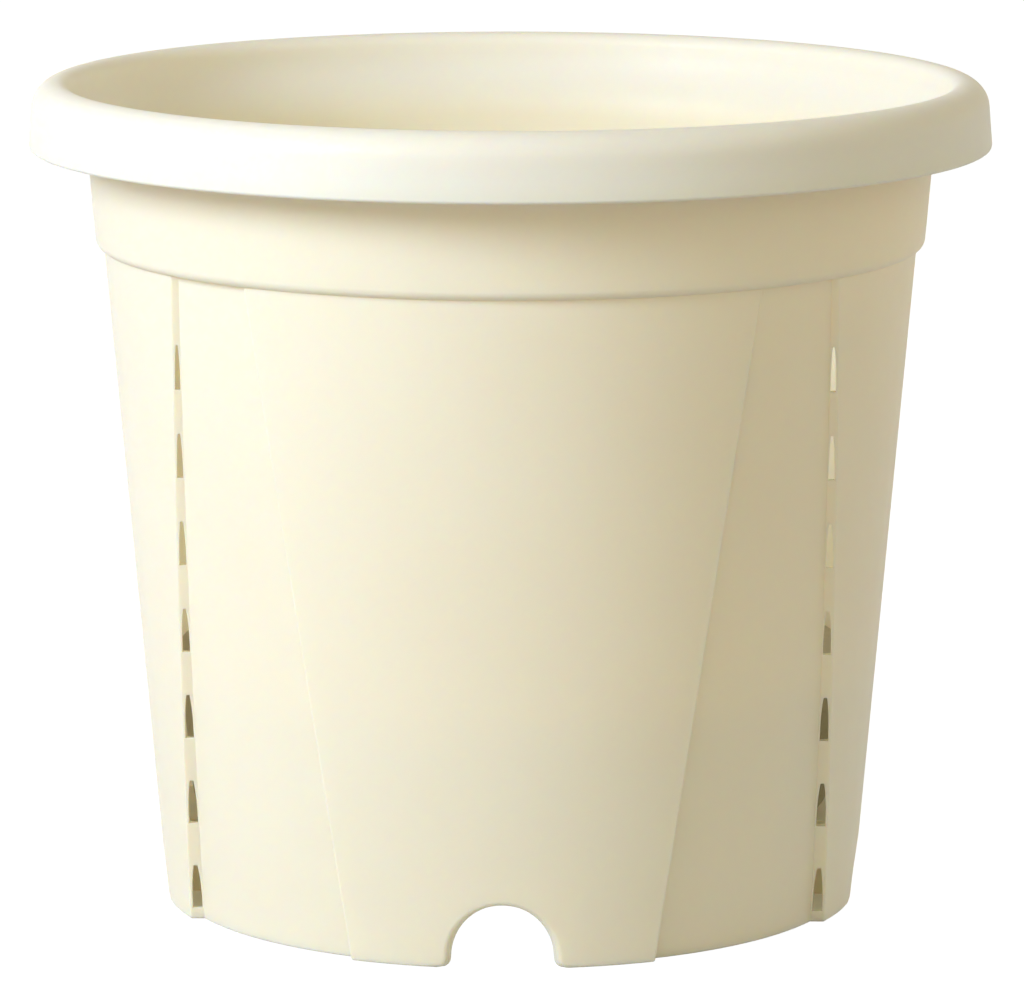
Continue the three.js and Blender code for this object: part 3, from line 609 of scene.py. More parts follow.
def rim_paths():
    """Sections of the collar and rim, from the wall to the rim's lower edge: its underside and its top."""
    edge_z = POT_HEIGHT - RIM_BAND
    flare_z = POT_HEIGHT - RIM_LIP - RIM_FLARE
    crest = RIM_RADIUS - RIM_DRAFT - RIM_SHOULDER
    collar_top = COLLAR_RADIUS + COLLAR_FLARE * (flare_z - COLLAR_Z) / (edge_z - COLLAR_Z)
    lip = Vector((crest - RIM_LIP, POT_HEIGHT - RIM_LIP))
    foot = Vector((collar_top - WALL, flare_z))

    def flare(share):
        a, d = foot, lip
        b = Vector((a.x, mix(a.y, d.y, RIM_FLARE_EASE)))
        c = Vector((d.x, mix(d.y, a.y, RIM_FLARE_EASE)))
        rest = 1 - share
        return a * rest ** 3 + b * 3 * rest ** 2 * share + c * 3 * rest * share ** 2 + d * share ** 3

    top = [(COLLAR_RADIUS - WALL, COLLAR_Z + WALL)]
    top += [tuple(Vector(top[0]).lerp(foot, share)) for share in COLLAR_ROWS]
    top += [tuple(flare(k / FLARE_STEPS)) for k in range(FLARE_STEPS + 1)]
    top += arc(crest, lip.y, RIM_LIP, 180, 90, LIP_STEPS)[1:]
    top += arc(crest, POT_HEIGHT - RIM_SHOULDER, RIM_SHOULDER, 90, 0, SHOULDER_STEPS)[1:]
    middle = len(top)
    band = RIM_RADIUS - RIM_EDGE
    top += arc(band, edge_z + RIM_EDGE, RIM_EDGE, 0, -90, RIM_EDGE_STEPS)

    collar_edge = COLLAR_RADIUS - COLLAR_EDGE
    under = arc(collar_edge, COLLAR_Z + COLLAR_EDGE, COLLAR_EDGE, COLLAR_EDGE_START, 0, BEND_STEPS)
    under += [(mix(COLLAR_RADIUS, collar_top, share), mix(COLLAR_Z + COLLAR_EDGE, flare_z, share))
              for share in COLLAR_OUTER_ROWS]
    skin = [Vector(p) for p in top[len(COLLAR_ROWS) + 1:middle]]
    for before, here, after in zip(skin, skin[1:], skin[2:]):
        along = (after - before).normalized()
        under.append((here.x + along.y * WALL, here.y - along.x * WALL))
    inner_band = RIM_RADIUS - WALL
    spare = len(top) - len(under) - 2
    last = Vector(under[-1])
    foot_in = Vector((inner_band, edge_z + INNER_ROUND))
    under += [tuple(last.lerp(foot_in, (k + 1) / spare)) for k in range(spare)]
    under += [(inner_band + RIM_ROUND_POINT, edge_z + RIM_ROUND_POINT), (inner_band + INNER_ROUND, edge_z)]
    return under, top


def add_rim(sheet, last_row):
    """Collar and rolled rim on top of the wall's last row."""
    angles = [math.atan2(outer[1], outer[0]) for outer, _ in last_row]

    def place(point, angle):
        r, z = point
        return (r * math.cos(angle), r * math.sin(angle), z)

    lower = [sheet.point(*pair) for pair in last_row]
    for under, top in zip(*rim_paths()):
        upper = [sheet.point(place(under, a), place(top, a)) for a in angles]
        for k in range(len(angles)):
            n = (k + 1) % len(angles)
            sheet.faces.append((lower[k], lower[n], upper[n], upper[k]))
        lower = upper


def make_pot():
    sheet = Sheet()
    last_row = add_wall(sheet)
    for leg in range(LEG_COUNT):
        add_arch(sheet, leg)
    add_rim(sheet, last_row)
    pot = new_object("pot", *sheet.parts())
    smooth = pot.modifiers.new("normals", "WEIGHTED_NORMAL")
    smooth.keep_sharp = True
    return pot


# Insert

def make_tray():
    low, top = TRAY_LOW.z, TRAY_HIGH.z
    floor, bend = low + TRAY_WALL, low + TRAY_EDGE
    turn_r = tray_radius(bend) - TRAY_EDGE
    profile = [(PLUG_HOLE, low)]
    profile += arc(turn_r, bend, TRAY_EDGE, -90, 0, BEND_STEPS)
    profile += [(tray_radius(top), top), (tray_radius(top) - TRAY_WALL, top)]
    profile += arc(turn_r, bend, TRAY_EDGE - TRAY_WALL, 0, -90, BEND_STEPS)
    profile += [(PLUG_HOLE, floor)]
    tray = turned("tray", profile, edge=0.5)
    sill = top - OVERFLOW_DROP
    cutters = radial_windows(LEG_COUNT, OVERFLOW_WIDTH, turn_r, tray_radius(top) + 2 * CUT_OVER, sill,
                             sill + OVERFLOW_HEIGHT, start=math.pi / LEG_COUNT)
    combine(tray, "DIFFERENCE", cutters)
    return tray


def make_plug():
    low, top = PLUG_LOW.z, PLUG_HIGH.z
    stem, flange = PLUG_HOLE - SEAT_GAP, PLUG_HIGH.x
    seat = low + TRAY_WALL + SEAT_GAP
    neck = seat + PLUG_FLANGE
    bulge = PLUG_KNOB - PLUG_NECK
    profile = [(0, low), (stem, low), (stem, seat), (flange, seat), (flange, neck), (PLUG_NECK, neck)]
    profile += arc(PLUG_NECK, top - bulge, bulge, PLUG_KNOB_START, 90, CROWN_STEPS)
    return turned("plug", profile + [(0, top)], edge=0.7)


def cup_places():
    """Middle of each wicking cup, from its node."""
    places = []
    for k in range(1, CUP_COUNT + 1):
        low, high = box_mm(f"wicking_cup_{k}")
        places.append(((low.x + high.x) / 2, (low.y + high.y) / 2))
    return places


def air_slots(sockets, reach):
    """Round-ended slots on rings of the platform, left out where a socket is."""
    parts = []
    half, width = AIR_SLOT_LENGTH / 2, AIR_SLOT_WIDTH / 2
    outline = arc(half - width, 0, width, -90, 90, END_STEPS)
    outline += arc(width - half, 0, width, 90, 270, END_STEPS)
    low, high = PLATFORM_Z - 2 * CUT_OVER, PLATFORM_HIGH.z + 2 * CUT_OVER
    radius = AIR_RING_START
    while radius + half + AIR_SLOT_MARGIN < reach:
        count = int(2 * math.pi * radius / AIR_SLOT_PITCH)
        for k in range(count):
            angle = 2 * math.pi * k / count
            x, y = radius * math.cos(angle), radius * math.sin(angle)
            if all(math.hypot(x - u, y - v) > keep + half + AIR_SLOT_MARGIN for u, v, keep in sockets):

                def place(u, v, depth, angle=angle):
                    return turn((radius + u, v), angle, depth)

                parts.append(prism_parts(outline, low, high, place))
        radius += AIR_RING_PITCH
    return merged(*parts)


def make_platform():
    skirt_z = PLATFORM_LOW.z
    skirt = tray_radius(skirt_z) - TRAY_WALL - LOOSE_GAP
    top, edge = PLATFORM_HIGH.z, PLATFORM_HIGH.x
    cage = (CAGE_HIGH.x - CAGE_LOW.x) / 2
    platform = turned("platform", [
        (0, PLATFORM_Z), (skirt - SKIRT_WALL, PLATFORM_Z), (skirt - SKIRT_WALL, skirt_z), (skirt, skirt_z),
        (skirt, PLATFORM_Z), (edge, PLATFORM_Z), (edge, top), (0, top)], edge=0.6)
    clip = cage + PUSH_GAP
    ring = [(clip, PLATFORM_Z - CLIP_DEPTH), (clip + CLIP_WALL, PLATFORM_Z - CLIP_DEPTH),
            (clip + CLIP_WALL, PLATFORM_Z + CUT_OVER), (clip, PLATFORM_Z + CUT_OVER)]
    combine(platform, "UNION", turned_parts(ring, GAUGE_X))
    holes = [(x, y, CUP_RADIUS + PUSH_GAP) for x, y in cup_places()]
    holes += [(FILL_X, 0, FILL_RADIUS + PUSH_GAP), (GAUGE_X, 0, SLEEVE_RADIUS + PUSH_GAP)]
    low, high = skirt_z - CUT_OVER, top + CUT_OVER
    posts = [turned_parts([(0, low), (r, low), (r, high), (0, high)], x, y, CUP_STEPS) for x, y, r in holes]
    sockets = [(x, y, CUP_RADIUS + CUP_FLANGE) for x, y in cup_places()]
    sockets += [(FILL_X, 0, FILL_FLANGE_RADIUS), (GAUGE_X, 0, cage + CLIP_WALL)]
    combine(platform, "DIFFERENCE", merged(air_slots(sockets, skirt - SKIRT_WALL), *posts))
    return platform


def make_cup(number, x, y):
    low, high = box_mm(f"wicking_cup_{number}")
    floor, flange = low.z + CUP_WALL, CUP_RADIUS + CUP_FLANGE
    profile = [
        (CUP_HOLE, low.z), (CUP_BASE_RADIUS, low.z), (CUP_RADIUS, FLANGE_Z), (flange, FLANGE_Z),
        (flange, high.z), (CUP_RADIUS - CUP_WALL, high.z), (CUP_BASE_RADIUS - CUP_WALL, floor),
        (CUP_HOLE, floor)]
    cup = turned(f"cup_{number}", profile, x, y, edge=0.8, steps=CUP_STEPS)
    sill = low.z + CUP_WINDOW_RISE
    cutters = radial_windows(CUP_WINDOWS, CUP_WINDOW_WIDTH, CUP_BASE_RADIUS - 2 * CUP_WALL,
                             CUP_RADIUS + CUT_OVER, sill, sill + CUP_WINDOW_HEIGHT, x, y)
    combine(cup, "DIFFERENCE", cutters)
    return cup


def make_fill_tube():
    bore, mouth_z = FILL_RADIUS - FILL_WALL, FILL_TOP - MOUTH_HEIGHT
    low = TUBE_LOW.z
    tube = turned("tube", [
        (bore, low), (FILL_RADIUS, low), (FILL_RADIUS, FLANGE_Z), (FILL_FLANGE_RADIUS, FLANGE_Z),
        (FILL_FLANGE_RADIUS, FLANGE_Z + FLANGE), (FILL_RADIUS, FLANGE_Z + FLANGE),
        (FILL_RADIUS, mouth_z - MOUTH_FLARE), (MOUTH_RADIUS, mouth_z), (MOUTH_RADIUS, FILL_TOP),
        (MOUTH_RADIUS - FILL_WALL, FILL_TOP), (MOUTH_RADIUS - FILL_WALL, mouth_z),
        (bore, mouth_z - MOUTH_FLARE)], FILL_X, edge=0.9)
    near = KNUCKLE_LENGTH / 2 + SEAT_GAP
    far = near + EAR_THICKNESS
    root = FILL_X - math.sqrt((MOUTH_RADIUS - FILL_WALL) ** 2 - near ** 2) - SEAT_GAP
    shelf = FILL_TOP - SEAT_GAP
    ear = [(root, FILL_TOP - EAR_DEPTH), (root, shelf), (FILL_X - MOUTH_RADIUS, shelf)]
    ear += arc(HINGE_X, HINGE_Z, EYE_RADIUS, 0, 180, EYE_STEPS)
    ear += [(HINGE_X - EYE_RADIUS, HINGE_Z - EYE_RADIUS)]
    ears = merged(prism_parts(ear, near, far, upright), prism_parts(ear, -far, -near, upright))
    combine(tube, "UNION", ears)
    combine(tube, "DIFFERENCE", cross_rod(PIN_RADIUS + SEAT_GAP, 2 * far))
    return tube


def cross_rod(radius, length):
    """Cylinder along Y on the hinge's axis."""
    outline = arc(HINGE_X, HINGE_Z, radius, 0, 360, ROD_STEPS)[:-1]
    return prism_parts(outline, -length / 2, length / 2, upright)


def make_cap():
    edge, skirt = MOUTH_RADIUS + CAP_OVERHANG, MOUTH_RADIUS - FILL_WALL - CAP_SKIRT_CLEARANCE
    top, foot = CAP_Z + CAP_THICKNESS, CAP_LOW.z
    cap = turned("cap", [
        (0, CAP_Z), (skirt - CAP_SKIRT_WALL, CAP_Z), (skirt - CAP_SKIRT_WALL, foot), (skirt, foot),
        (skirt, CAP_Z), (edge, CAP_Z), (edge, top - CAP_CROWN), (edge - CAP_CROWN, top),
        (0, top + CAP_CROWN)], FILL_X, edge=0.6)
    reach, grip = KNUCKLE_LENGTH / 2, CAP_TAB_WIDTH / 2
    arm_end = HINGE_X + EYE_RADIUS + (FILL_X - MOUTH_RADIUS - HINGE_X)
    arm = [(HINGE_X, -reach), (arm_end, -reach), (arm_end, reach), (HINGE_X, reach)]
    tab_end = CAP_HIGH.x
    tab = [(FILL_X + skirt, -grip), (tab_end, -grip), (tab_end, grip), (FILL_X + skirt, grip)]
    for shape in (prism_parts(arm, CAP_Z, top, flat),
                  prism_parts(rounded(tab, CAP_TAB_ROUND), CAP_Z, top - CAP_CROWN, flat),
                  cross_rod(EYE_RADIUS, KNUCKLE_LENGTH)):
        combine(cap, "UNION", shape)
    combine(cap, "DIFFERENCE", cross_rod(PIN_RADIUS + SEAT_GAP, 2 * KNUCKLE_LENGTH))
    return cap


def make_pin():
    neck = KNUCKLE_LENGTH / 2 + SEAT_GAP + EAR_THICKNESS + SEAT_GAP
    end = neck + PIN_HEAD
    profile = [(0, -end), (PIN_HEAD_RADIUS, -end), (PIN_HEAD_RADIUS, -neck), (PIN_RADIUS, -neck),
               (PIN_RADIUS, neck), (PIN_HEAD_RADIUS, neck), (PIN_HEAD_RADIUS, end), (0, end)]
    verts, faces = turned_parts(rounded(profile, PIN_EDGE, False), steps=ROD_STEPS)
    return new_object("pin", [(HINGE_X + x, z, HINGE_Z + y) for x, y, z in verts], faces)


def make_sleeve():
    bore, guide = SLEEVE_RADIUS - SLEEVE_WALL, ROD_HIGH.x - GAUGE_X + SLIDE_GAP
    low = SLEEVE_LOW.z
    return turned("sleeve", [
        (guide, low), (SLEEVE_RADIUS, low), (SLEEVE_RADIUS, FLANGE_Z), (SLEEVE_FLANGE_RADIUS, FLANGE_Z),
        (SLEEVE_FLANGE_RADIUS, FLANGE_Z + FLANGE), (SLEEVE_RADIUS, FLANGE_Z + FLANGE),
        (SLEEVE_RADIUS, SLEEVE_TOP), (bore, SLEEVE_TOP), (bore, low + SLEEVE_GUIDE),
        (guide, low + SLEEVE_GUIDE)], GAUGE_X, edge=0.6)


def crown(z, radius, rise):
    """Round top from its side to the axis."""
    angles = [math.pi / 2 * k / CROWN_STEPS for k in range(CROWN_STEPS + 1)]
    points = [(radius * math.cos(a), z + rise * math.sin(a)) for a in angles[:-1]]
    return points + [(0, z + rise)]


def make_dome():
    skirt, bore = SLEEVE_RADIUS + PUSH_GAP, TIP_HIGH.x - GAUGE_X + SLIDE_GAP
    roof = DOME_HIGH.z - DOME_WALL
    shoulder, seat = roof - bore / 2, SLEEVE_TOP + SEAT_GAP
    outside = [(skirt + DOME_WALL, DOME_LOW.z)] + crown(shoulder, skirt + DOME_WALL, DOME_HIGH.z - shoulder)
    inside = crown(shoulder, bore, roof - shoulder)[::-1]
    step = [(bore, seat), (skirt, seat), (skirt, DOME_LOW.z)]
    return turned("dome", inside + step + outside, GAUGE_X, edge=0.4)


def make_cage():
    radius = (CAGE_HIGH.x - CAGE_LOW.x) / 2
    low, top = CAGE_LOW.z, CAGE_HIGH.z
    bore, floor = radius - CAGE_WALL, low + CAGE_WALL
    cage = turned("cage", [
        (CAGE_HOLE, low), (radius, low), (radius, top), (bore, top), (bore, floor), (CAGE_HOLE, floor)],
        GAUGE_X, edge=0.8, steps=CUP_STEPS)
    cutters = radial_windows(CAGE_WINDOWS, CAGE_WINDOW_WIDTH, radius - 2 * CAGE_WALL, radius + CUT_OVER,
                             low + CAGE_WINDOW_RISE, top - CAGE_BAND, GAUGE_X)
    combine(cage, "DIFFERENCE", cutters)
    return cage


def make_float():
    radius, low, top = FLOAT_HIGH.x - GAUGE_X, FLOAT_LOW.z, FLOAT_HIGH.z
    socket, side = ROD_HIGH.x - GAUGE_X + SEAT_GAP, radius - FLOAT_EDGE
    profile = [(0, low)] + arc(side, low + FLOAT_EDGE, FLOAT_EDGE, -90, 0, END_STEPS)
    profile += arc(side, top - FLOAT_EDGE, FLOAT_EDGE, 0, 90, END_STEPS)
    profile += [(socket, top), (socket, top - ROD_SOCKET), (0, top - ROD_SOCKET)]
    return turned("float", profile, GAUGE_X, edge=0.3)


def make_rod():
    radius = ROD_HIGH.x - GAUGE_X
    return turned("rod", [(0, ROD_LOW.z), (radius, ROD_LOW.z), (radius, ROD_HIGH.z), (0, ROD_HIGH.z)],
                  GAUGE_X, edge=0.4, steps=ROD_STEPS)


def make_tip():
    radius, low, top = TIP_HIGH.x - GAUGE_X, TIP_LOW.z, TIP_HIGH.z
    socket, rise = ROD_HIGH.x - GAUGE_X + SEAT_GAP, radius / 2
    profile = [(0, low + TIP_SOCKET), (socket, low + TIP_SOCKET), (socket, low), (radius, low)]
    return turned("tip", profile + crown(top - rise, radius, rise), GAUGE_X, edge=0.5)


# Materials

class Paint:
    """A material's nodes, with short ways to add what most of the finishes here share."""

    def __init__(self, name, **values):
        self.material = bpy.data.materials.new(name)
        self.material.use_nodes = True
        self.tree = self.material.node_tree
        self.shader = self.tree.nodes["Principled BSDF"]
        self.place = self.add("ShaderNodeTexCoord").outputs["Object"]
        for key, value in values.items():
            self.shader.inputs[key.replace("_", " ")].default_value = value

    def add(self, kind, **settings):
        node = self.tree.nodes.new(kind)
        for key, value in settings.items():
            setattr(node, key, value)
        return node

    def link(self, source, target):
        self.tree.links.new(source, target)

    def noise(self, scale, detail=3.0, stretch=(1, 1, 1)):
        """Noise over the object, with a size per metre, drawn out along an axis by a stretch under 1."""
        mapping = self.add("ShaderNodeMapping")
        mapping.inputs["Scale"].default_value = stretch
        self.link(self.place, mapping.inputs["Vector"])
        texture = self.add("ShaderNodeTexNoise")
        texture.inputs["Scale"].default_value = scale
        texture.inputs["Detail"].default_value = detail
        self.link(mapping.outputs["Vector"], texture.inputs["Vector"])
        return texture.outputs["Fac"]

    def cells(self, scale):
        texture = self.add("ShaderNodeTexVoronoi")
        texture.inputs["Scale"].default_value = scale
        self.link(self.place, texture.inputs["Vector"])
        return texture.outputs["Distance"]

    def height(self):
        """Height over the ground, in metres."""
        split = self.add("ShaderNodeSeparateXYZ")
        self.link(self.place, split.inputs["Vector"])
        return split.outputs["Z"]

    def spread(self, source, low, high, start=0.3, end=0.7):
        """A value mapped from start..end to low..high."""
        node = self.add("ShaderNodeMapRange")
        for key, value in zip(("From Min", "From Max", "To Min", "To Max"), (start, end, low, high)):
            node.inputs[key].default_value = value
        self.link(source, node.inputs["Value"])
        return node.outputs["Result"]

    def blend(self, factor, first, second):
        """Mix of two colours, each a colour or a socket."""
        node = self.add("ShaderNodeMix", data_type="RGBA")
        self.link(factor, node.inputs["Factor"])
        for key, value in (("A", first), ("B", second)):
            socket = next(s for s in node.inputs if s.name == key and s.type == "RGBA")
            if isinstance(value, tuple):
                socket.default_value = (*value, 1.0)
            else:
                self.link(value, socket)
        return next(s for s in node.outputs if s.type == "RGBA")

    def colour(self, socket):
        self.link(socket, self.shader.inputs["Base Color"])

    def roughness(self, socket):
        self.link(socket, self.shader.inputs["Roughness"])

    def bump(self, source, height, strength=1.0):
        """Bump of a height in millimetres, over any bump that is already there."""
        node = self.add("ShaderNodeBump")
        node.inputs["Strength"].default_value = strength
        node.inputs["Distance"].default_value = height * MM
        self.link(source, node.inputs["Height"])
        target = self.shader.inputs["Normal"]
        if target.is_linked:
            self.link(target.links[0].from_socket, node.inputs["Normal"])
        self.link(node.outputs["Normal"], target)


# Depths under the top between which the painted light on the rolled rim sets in: a paler, less yellow cream
# that stands in for light falling on the rim
PAINTED_LIGHT_START, PAINTED_LIGHT_END = 30.0, 16.0


def cream_plastic(name):
    """Satin cream moulding: soft mottling, faint upright flow marks, a fine grain and painted light that
    makes the rim paler and less yellow.
    """
    paint = Paint(name, Specular_IOR_Level=0.32, Subsurface_Weight=0.75, Subsurface_Scale=0.005)
    paint.shader.inputs["Subsurface Radius"].default_value = (1.0, 0.7, 0.35)
    mottle = paint.spread(paint.noise(9.0, 4.0), 0.0, 1.0)
    flow = paint.spread(paint.noise(60.0, 2.0, (1, 1, 0.06)), 0.0, 1.0)
    base = paint.blend(mottle, (0.845, 0.775, 0.6), (0.875, 0.805, 0.635))
    streaked = paint.blend(paint.spread(flow, 0.0, 0.35, 0.0, 1.0), base, (0.85, 0.785, 0.62))
    # Painted light: towards the top the cream turns paler and less yellow, standing in for light on the
    # rolled rim
    start, end = (POT_HEIGHT - PAINTED_LIGHT_START) * MM, (POT_HEIGHT - PAINTED_LIGHT_END) * MM
    painted_rim_light = paint.spread(paint.height(), 0.0, 1.0, start, end)
    paint.colour(paint.blend(painted_rim_light, streaked, (0.885, 0.822, 0.7)))
    paint.roughness(paint.spread(paint.noise(140.0, 3.0), 0.42, 0.55))
    paint.bump(flow, 0.02, 0.3)
    paint.bump(paint.noise(1400.0, 2.0), 0.02, 0.35)
    return paint.material


def stone_plastic(name):
    """Stone-coloured moulding: cloudy, faintly flecked, with a spark-eroded grain."""
    paint = Paint(name, Specular_IOR_Level=0.35)
    cloud = paint.spread(paint.noise(16.0, 4.0), 0.0, 1.0)
    fleck = paint.spread(paint.noise(420.0, 3.0), 0.0, 0.5, 0.56, 0.72)
    base = paint.blend(cloud, (0.54, 0.49, 0.37), (0.6, 0.545, 0.415))
    paint.colour(paint.blend(fleck, base, (0.37, 0.33, 0.24)))
    paint.roughness(paint.spread(paint.noise(220.0, 2.0), 0.5, 0.68))
    paint.bump(paint.noise(1800.0, 2.0), 0.04, 0.6)
    return paint.material


def charcoal_plastic(name):
    """Dark moulding with a spark-eroded grain and a trace of dust."""
    paint = Paint(name, Specular_IOR_Level=0.45)
    dust = paint.spread(paint.noise(35.0, 5.0), 0.0, 0.5, 0.5, 0.8)
    paint.colour(paint.blend(dust, (0.028, 0.028, 0.027), (0.07, 0.068, 0.062)))
    paint.roughness(paint.spread(paint.noise(220.0, 2.0), 0.45, 0.62))
    paint.bump(paint.noise(1800.0, 2.0), 0.04, 0.6)
    return paint.material


def black_rubber(name):
    paint = Paint(name, Specular_IOR_Level=0.3)
    bloom = paint.spread(paint.noise(120.0, 4.0), 0.0, 1.0, 0.45, 0.75)
    paint.colour(paint.blend(bloom, (0.012, 0.012, 0.012), (0.035, 0.035, 0.036)))
    paint.roughness(paint.spread(bloom, 0.7, 0.9, 0.0, 1.0))
    paint.bump(paint.noise(2400.0, 2.0), 0.03, 0.5)
    return paint.material


def clear_plastic(name):
    paint = Paint(name, Transmission_Weight=1.0, IOR=1.49)
    paint.shader.inputs["Base Color"].default_value = (0.95, 0.98, 0.97, 1.0)
    paint.roughness(paint.spread(paint.noise(90.0, 3.0), 0.03, 0.09))
    paint.bump(paint.noise(300.0, 2.0), 0.01, 0.2)
    return paint.material


def foam(name):
    """Closed-cell foam: small round beads with dark seams."""
    paint = Paint(name, Specular_IOR_Level=0.2)
    beads = paint.cells(520.0)
    paint.colour(paint.blend(paint.spread(beads, 0.0, 1.0, 0.2, 0.8), (0.88, 0.88, 0.86), (0.68, 0.68, 0.65)))
    paint.roughness(paint.spread(beads, 0.8, 0.95))
    paint.bump(paint.spread(beads, 1.0, 0.0, 0.0, 1.0), 0.25, 0.7)
    return paint.material


def white_plastic(name):
    paint = Paint(name, Specular_IOR_Level=0.5)
    draw = paint.spread(paint.noise(900.0, 2.0, (1, 1, 0.02)), 0.0, 1.0)
    paint.colour(paint.blend(draw, (0.83, 0.83, 0.82), (0.89, 0.89, 0.88)))
    paint.roughness(paint.spread(draw, 0.28, 0.4, 0.0, 1.0))
    paint.bump(draw, 0.01, 0.4)
    return paint.material


def red_plastic(name):
    paint = Paint(name, Specular_IOR_Level=0.5, Coat_Weight=0.2, Coat_Roughness=0.1)
    swirl = paint.spread(paint.noise(150.0, 4.0), 0.0, 1.0)
    paint.colour(paint.blend(swirl, (0.52, 0.022, 0.012), (0.62, 0.035, 0.02)))
    paint.roughness(paint.spread(paint.noise(400.0, 2.0), 0.24, 0.36))
    paint.bump(paint.noise(1200.0, 2.0), 0.01, 0.3)
    return paint.material


def drawn_steel(name):
    """Steel wire with fine marks along its length."""
    paint = Paint(name, Metallic=1.0)
    marks = paint.spread(paint.noise(2600.0, 2.0, (1, 0.02, 1)), 0.0, 1.0)
    paint.colour(paint.blend(marks, (0.55, 0.56, 0.58), (0.68, 0.69, 0.71)))
    paint.roughness(paint.spread(marks, 0.2, 0.38, 0.0, 1.0))
    paint.bump(marks, 0.01, 0.4)
    return paint.material


def studio_floor(name, base, glow):
    """Plain floor that may glow a little, as a light table does."""
    paint = Paint(name, Specular_IOR_Level=0.1, Emission_Strength=glow)
    paint.shader.inputs["Emission Color"].default_value = (1.0, 1.0, 1.0, 1.0)
    paint.shader.inputs["Base Color"].default_value = (base, base, base, 1.0)
    paint.roughness(paint.spread(paint.noise(3.0, 2.0), 0.85, 0.95))
    return paint.material


def dress(piece, material, body=None, nodes=()):
    """Gives a piece its finish and, for a new piece, its body and the nodes that it stands for."""
    piece.data.materials.clear()
    piece.data.materials.append(material)
    if body:
        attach(piece, body)
        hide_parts(*nodes)


# Camera, light and floor

CAMERA_DISTANCE = 2250.0
CAMERA_HEIGHT = 533.4
CAMERA_PITCH = math.radians(9.94)
CAMERA_TURN = math.radians(1.3)
IMAGE_WIDTH = 1024
FOCAL_PIXELS = 6550.0
AXIS_PIXEL = 510.5
SENSOR = 36.0
VIEW_DEPTH = 100000.0
FLOOR_SIZE = 30000.0
FLOOR_Z = -0.2
FLOOR_BASE, FLOOR_GLOW = 0.15, 0.95
BOUNCE_BASE = 0.44
SKY_COLOUR = (1.0, 0.935, 0.76, 1.0)
SKY_LOW, SKY_HIGH = 1.13, 0.24
SKY_LEFT, SKY_RIGHT = 1.02, 0.98
KEY_PLACE, KEY_TARGET = (-1240.0, -1020.0, 980.0), (0.0, 0.0, 150.0)
KEY_SIZE, KEY_WATTS = 750.0, 28.0
KEY_COLOUR = (0.72, 0.8, 1.0)
GLOW_COLOUR = (0.96, 1.0, 0.92)
GLOW_WATTS = 0.19
GLOW_Z, GLOW_RADIUS = 68.0, 50.0


def make_camera():
    data = bpy.data.cameras.new("camera")
    data.sensor_width = SENSOR
    data.sensor_fit = "HORIZONTAL"
    data.lens = FOCAL_PIXELS * SENSOR / IMAGE_WIDTH
    data.shift_x = (IMAGE_WIDTH / 2 - AXIS_PIXEL) / IMAGE_WIDTH
    data.clip_end = VIEW_DEPTH * MM
    camera = bpy.data.objects.new("camera", data)
    bpy.context.scene.collection.objects.link(camera)
    away = Vector((math.sin(CAMERA_TURN), -math.cos(CAMERA_TURN), 0)) * CAMERA_DISTANCE
    camera.location = (away + Vector((0, 0, CAMERA_HEIGHT))) * MM
    camera.rotation_euler = (math.pi / 2 - CAMERA_PITCH, 0, CAMERA_TURN)
    bpy.context.scene.camera = camera


def make_plane(name, z, material):
    half = FLOOR_SIZE / 2
    corners = [(-half, -half, 0), (half, -half, 0), (half, half, 0), (-half, half, 0)]
    plane = new_object(name, corners, [(0, 1, 2, 3)])
    plane.location.z = z * MM
    dress(plane, material)
    return plane


def make_floor():
    """White floor for the camera, and over it one that only gives light back to the pot."""
    seen = make_plane("floor", FLOOR_Z, studio_floor("floor", FLOOR_BASE, FLOOR_GLOW))
    seen.visible_diffuse = False
    bounce = make_plane("bounce", FLOOR_Z / 2, studio_floor("bounce", BOUNCE_BASE, 0.0))
    bounce.visible_camera = False
    bounce.visible_glossy = False
    bounce.visible_transmission = False
    bounce.visible_shadow = False


def make_key():
    """Soft disk of light from the upper left."""
    data = bpy.data.lights.new("key", "AREA")
    data.shape = "DISK"
    data.size = KEY_SIZE * MM
    data.energy = KEY_WATTS
    data.color = KEY_COLOUR
    key = bpy.data.objects.new("key", data)
    key.location = Vector(KEY_PLACE) * MM
    aim = Vector(KEY_TARGET) - Vector(KEY_PLACE)
    key.rotation_euler = aim.to_track_quat("-Z", "Y").to_euler()
    bpy.context.scene.collection.objects.link(key)


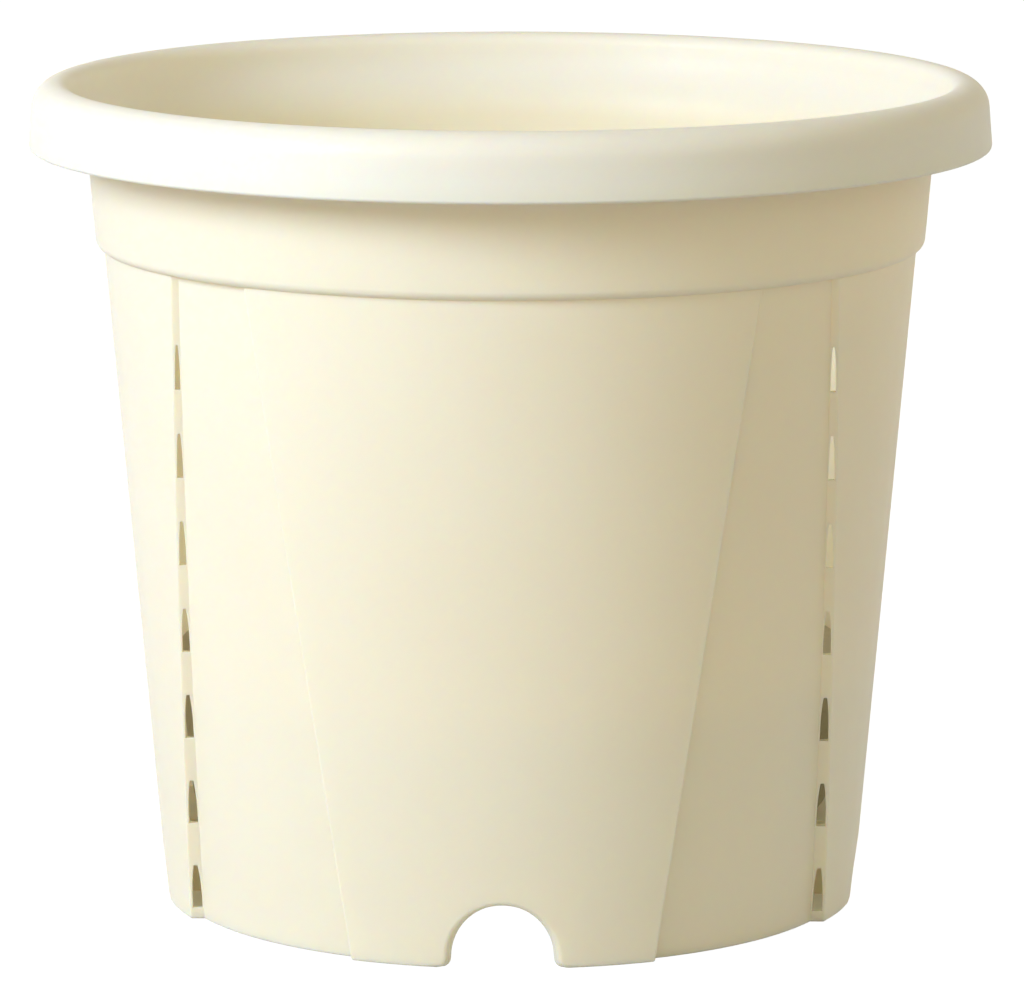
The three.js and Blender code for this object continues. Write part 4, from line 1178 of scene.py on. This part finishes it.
def make_sky():
    """Soft warm light from all round, weaker from above and the right."""
    world = bpy.data.worlds.new("studio")
    world.use_nodes = True
    tree = world.node_tree
    place, split = tree.nodes.new("ShaderNodeTexCoord"), tree.nodes.new("ShaderNodeSeparateXYZ")
    level = tree.nodes.new("ShaderNodeMapRange")
    level.inputs["To Min"].default_value = SKY_LOW
    level.inputs["To Max"].default_value = SKY_HIGH
    across = tree.nodes.new("ShaderNodeMapRange")
    across.inputs["From Min"].default_value = -1.0
    across.inputs["To Min"].default_value = SKY_LEFT
    across.inputs["To Max"].default_value = SKY_RIGHT
    whole = tree.nodes.new("ShaderNodeMath")
    whole.operation = "MULTIPLY"
    sky = tree.nodes["Background"]
    sky.inputs["Color"].default_value = SKY_COLOUR
    tree.links.new(place.outputs["Generated"], split.inputs["Vector"])
    tree.links.new(split.outputs["Z"], level.inputs["Value"])
    tree.links.new(split.outputs["X"], across.inputs["Value"])
    tree.links.new(level.outputs["Result"], whole.inputs[0])
    tree.links.new(across.outputs["Result"], whole.inputs[1])
    tree.links.new(whole.outputs["Value"], sky.inputs["Strength"])
    bpy.context.scene.world = world


def make_glow(shell):
    """Faint light inside the pot that only the shell blocks, so that its slots look into a pale space."""
    data = bpy.data.lights.new("glow", "POINT")
    data.shadow_soft_size = GLOW_RADIUS * MM
    data.energy = GLOW_WATTS
    data.color = GLOW_COLOUR
    glow = bpy.data.objects.new("glow", data)
    glow.location.z = GLOW_Z * MM
    bpy.context.scene.collection.objects.link(glow)
    blockers = bpy.data.collections.new("shell")
    blockers.objects.link(shell)
    glow.light_linking.blocker_collection = blockers


def make_studio():
    make_floor()
    make_sky()
    make_key()
    bpy.context.scene.view_settings.view_transform = "Standard"


def make_object():
    cream, stone, white = cream_plastic("cream"), stone_plastic("stone"), white_plastic("white")
    pot = make_pot()
    dress(pot, cream, "pot", ("pot_rim", "pot_wall"))
    make_glow(pot)
    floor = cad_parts["pot_floor"]
    dress(floor, cream)
    soften(floor, FLOOR_EDGE)
    dress(make_tray(), stone, "reservoir", ("reservoir_tray",))
    dress(make_plug(), black_rubber("rubber"), "plug", ("drain_plug",))
    dress(make_platform(), stone, "platform", ("soil_platform",))
    for number, (x, y) in enumerate(cup_places(), start=1):
        dress(make_cup(number, x, y), stone, "platform", (f"wicking_cup_{number}",))
    dress(make_fill_tube(), cream, "platform", ("fill_tube",))
    dress(make_cap(), charcoal_plastic("charcoal"), "cap", ("fill_cap",))
    dress(make_pin(), drawn_steel("steel"), "platform", ("fill_cap_pin",))
    dress(make_sleeve(), cream, "platform", ("gauge_sleeve",))
    dress(make_dome(), clear_plastic("clear"), "platform", ("gauge_dome",))
    dress(make_cage(), stone, "platform", ("float_cage",))
    dress(make_float(), foam("foam"), "float", ("gauge_float",))
    dress(make_rod(), white, "float", ("gauge_rod",))
    dress(make_tip(), red_plastic("red"), "float", ("gauge_tip",))


make_camera()
make_studio()
make_object()
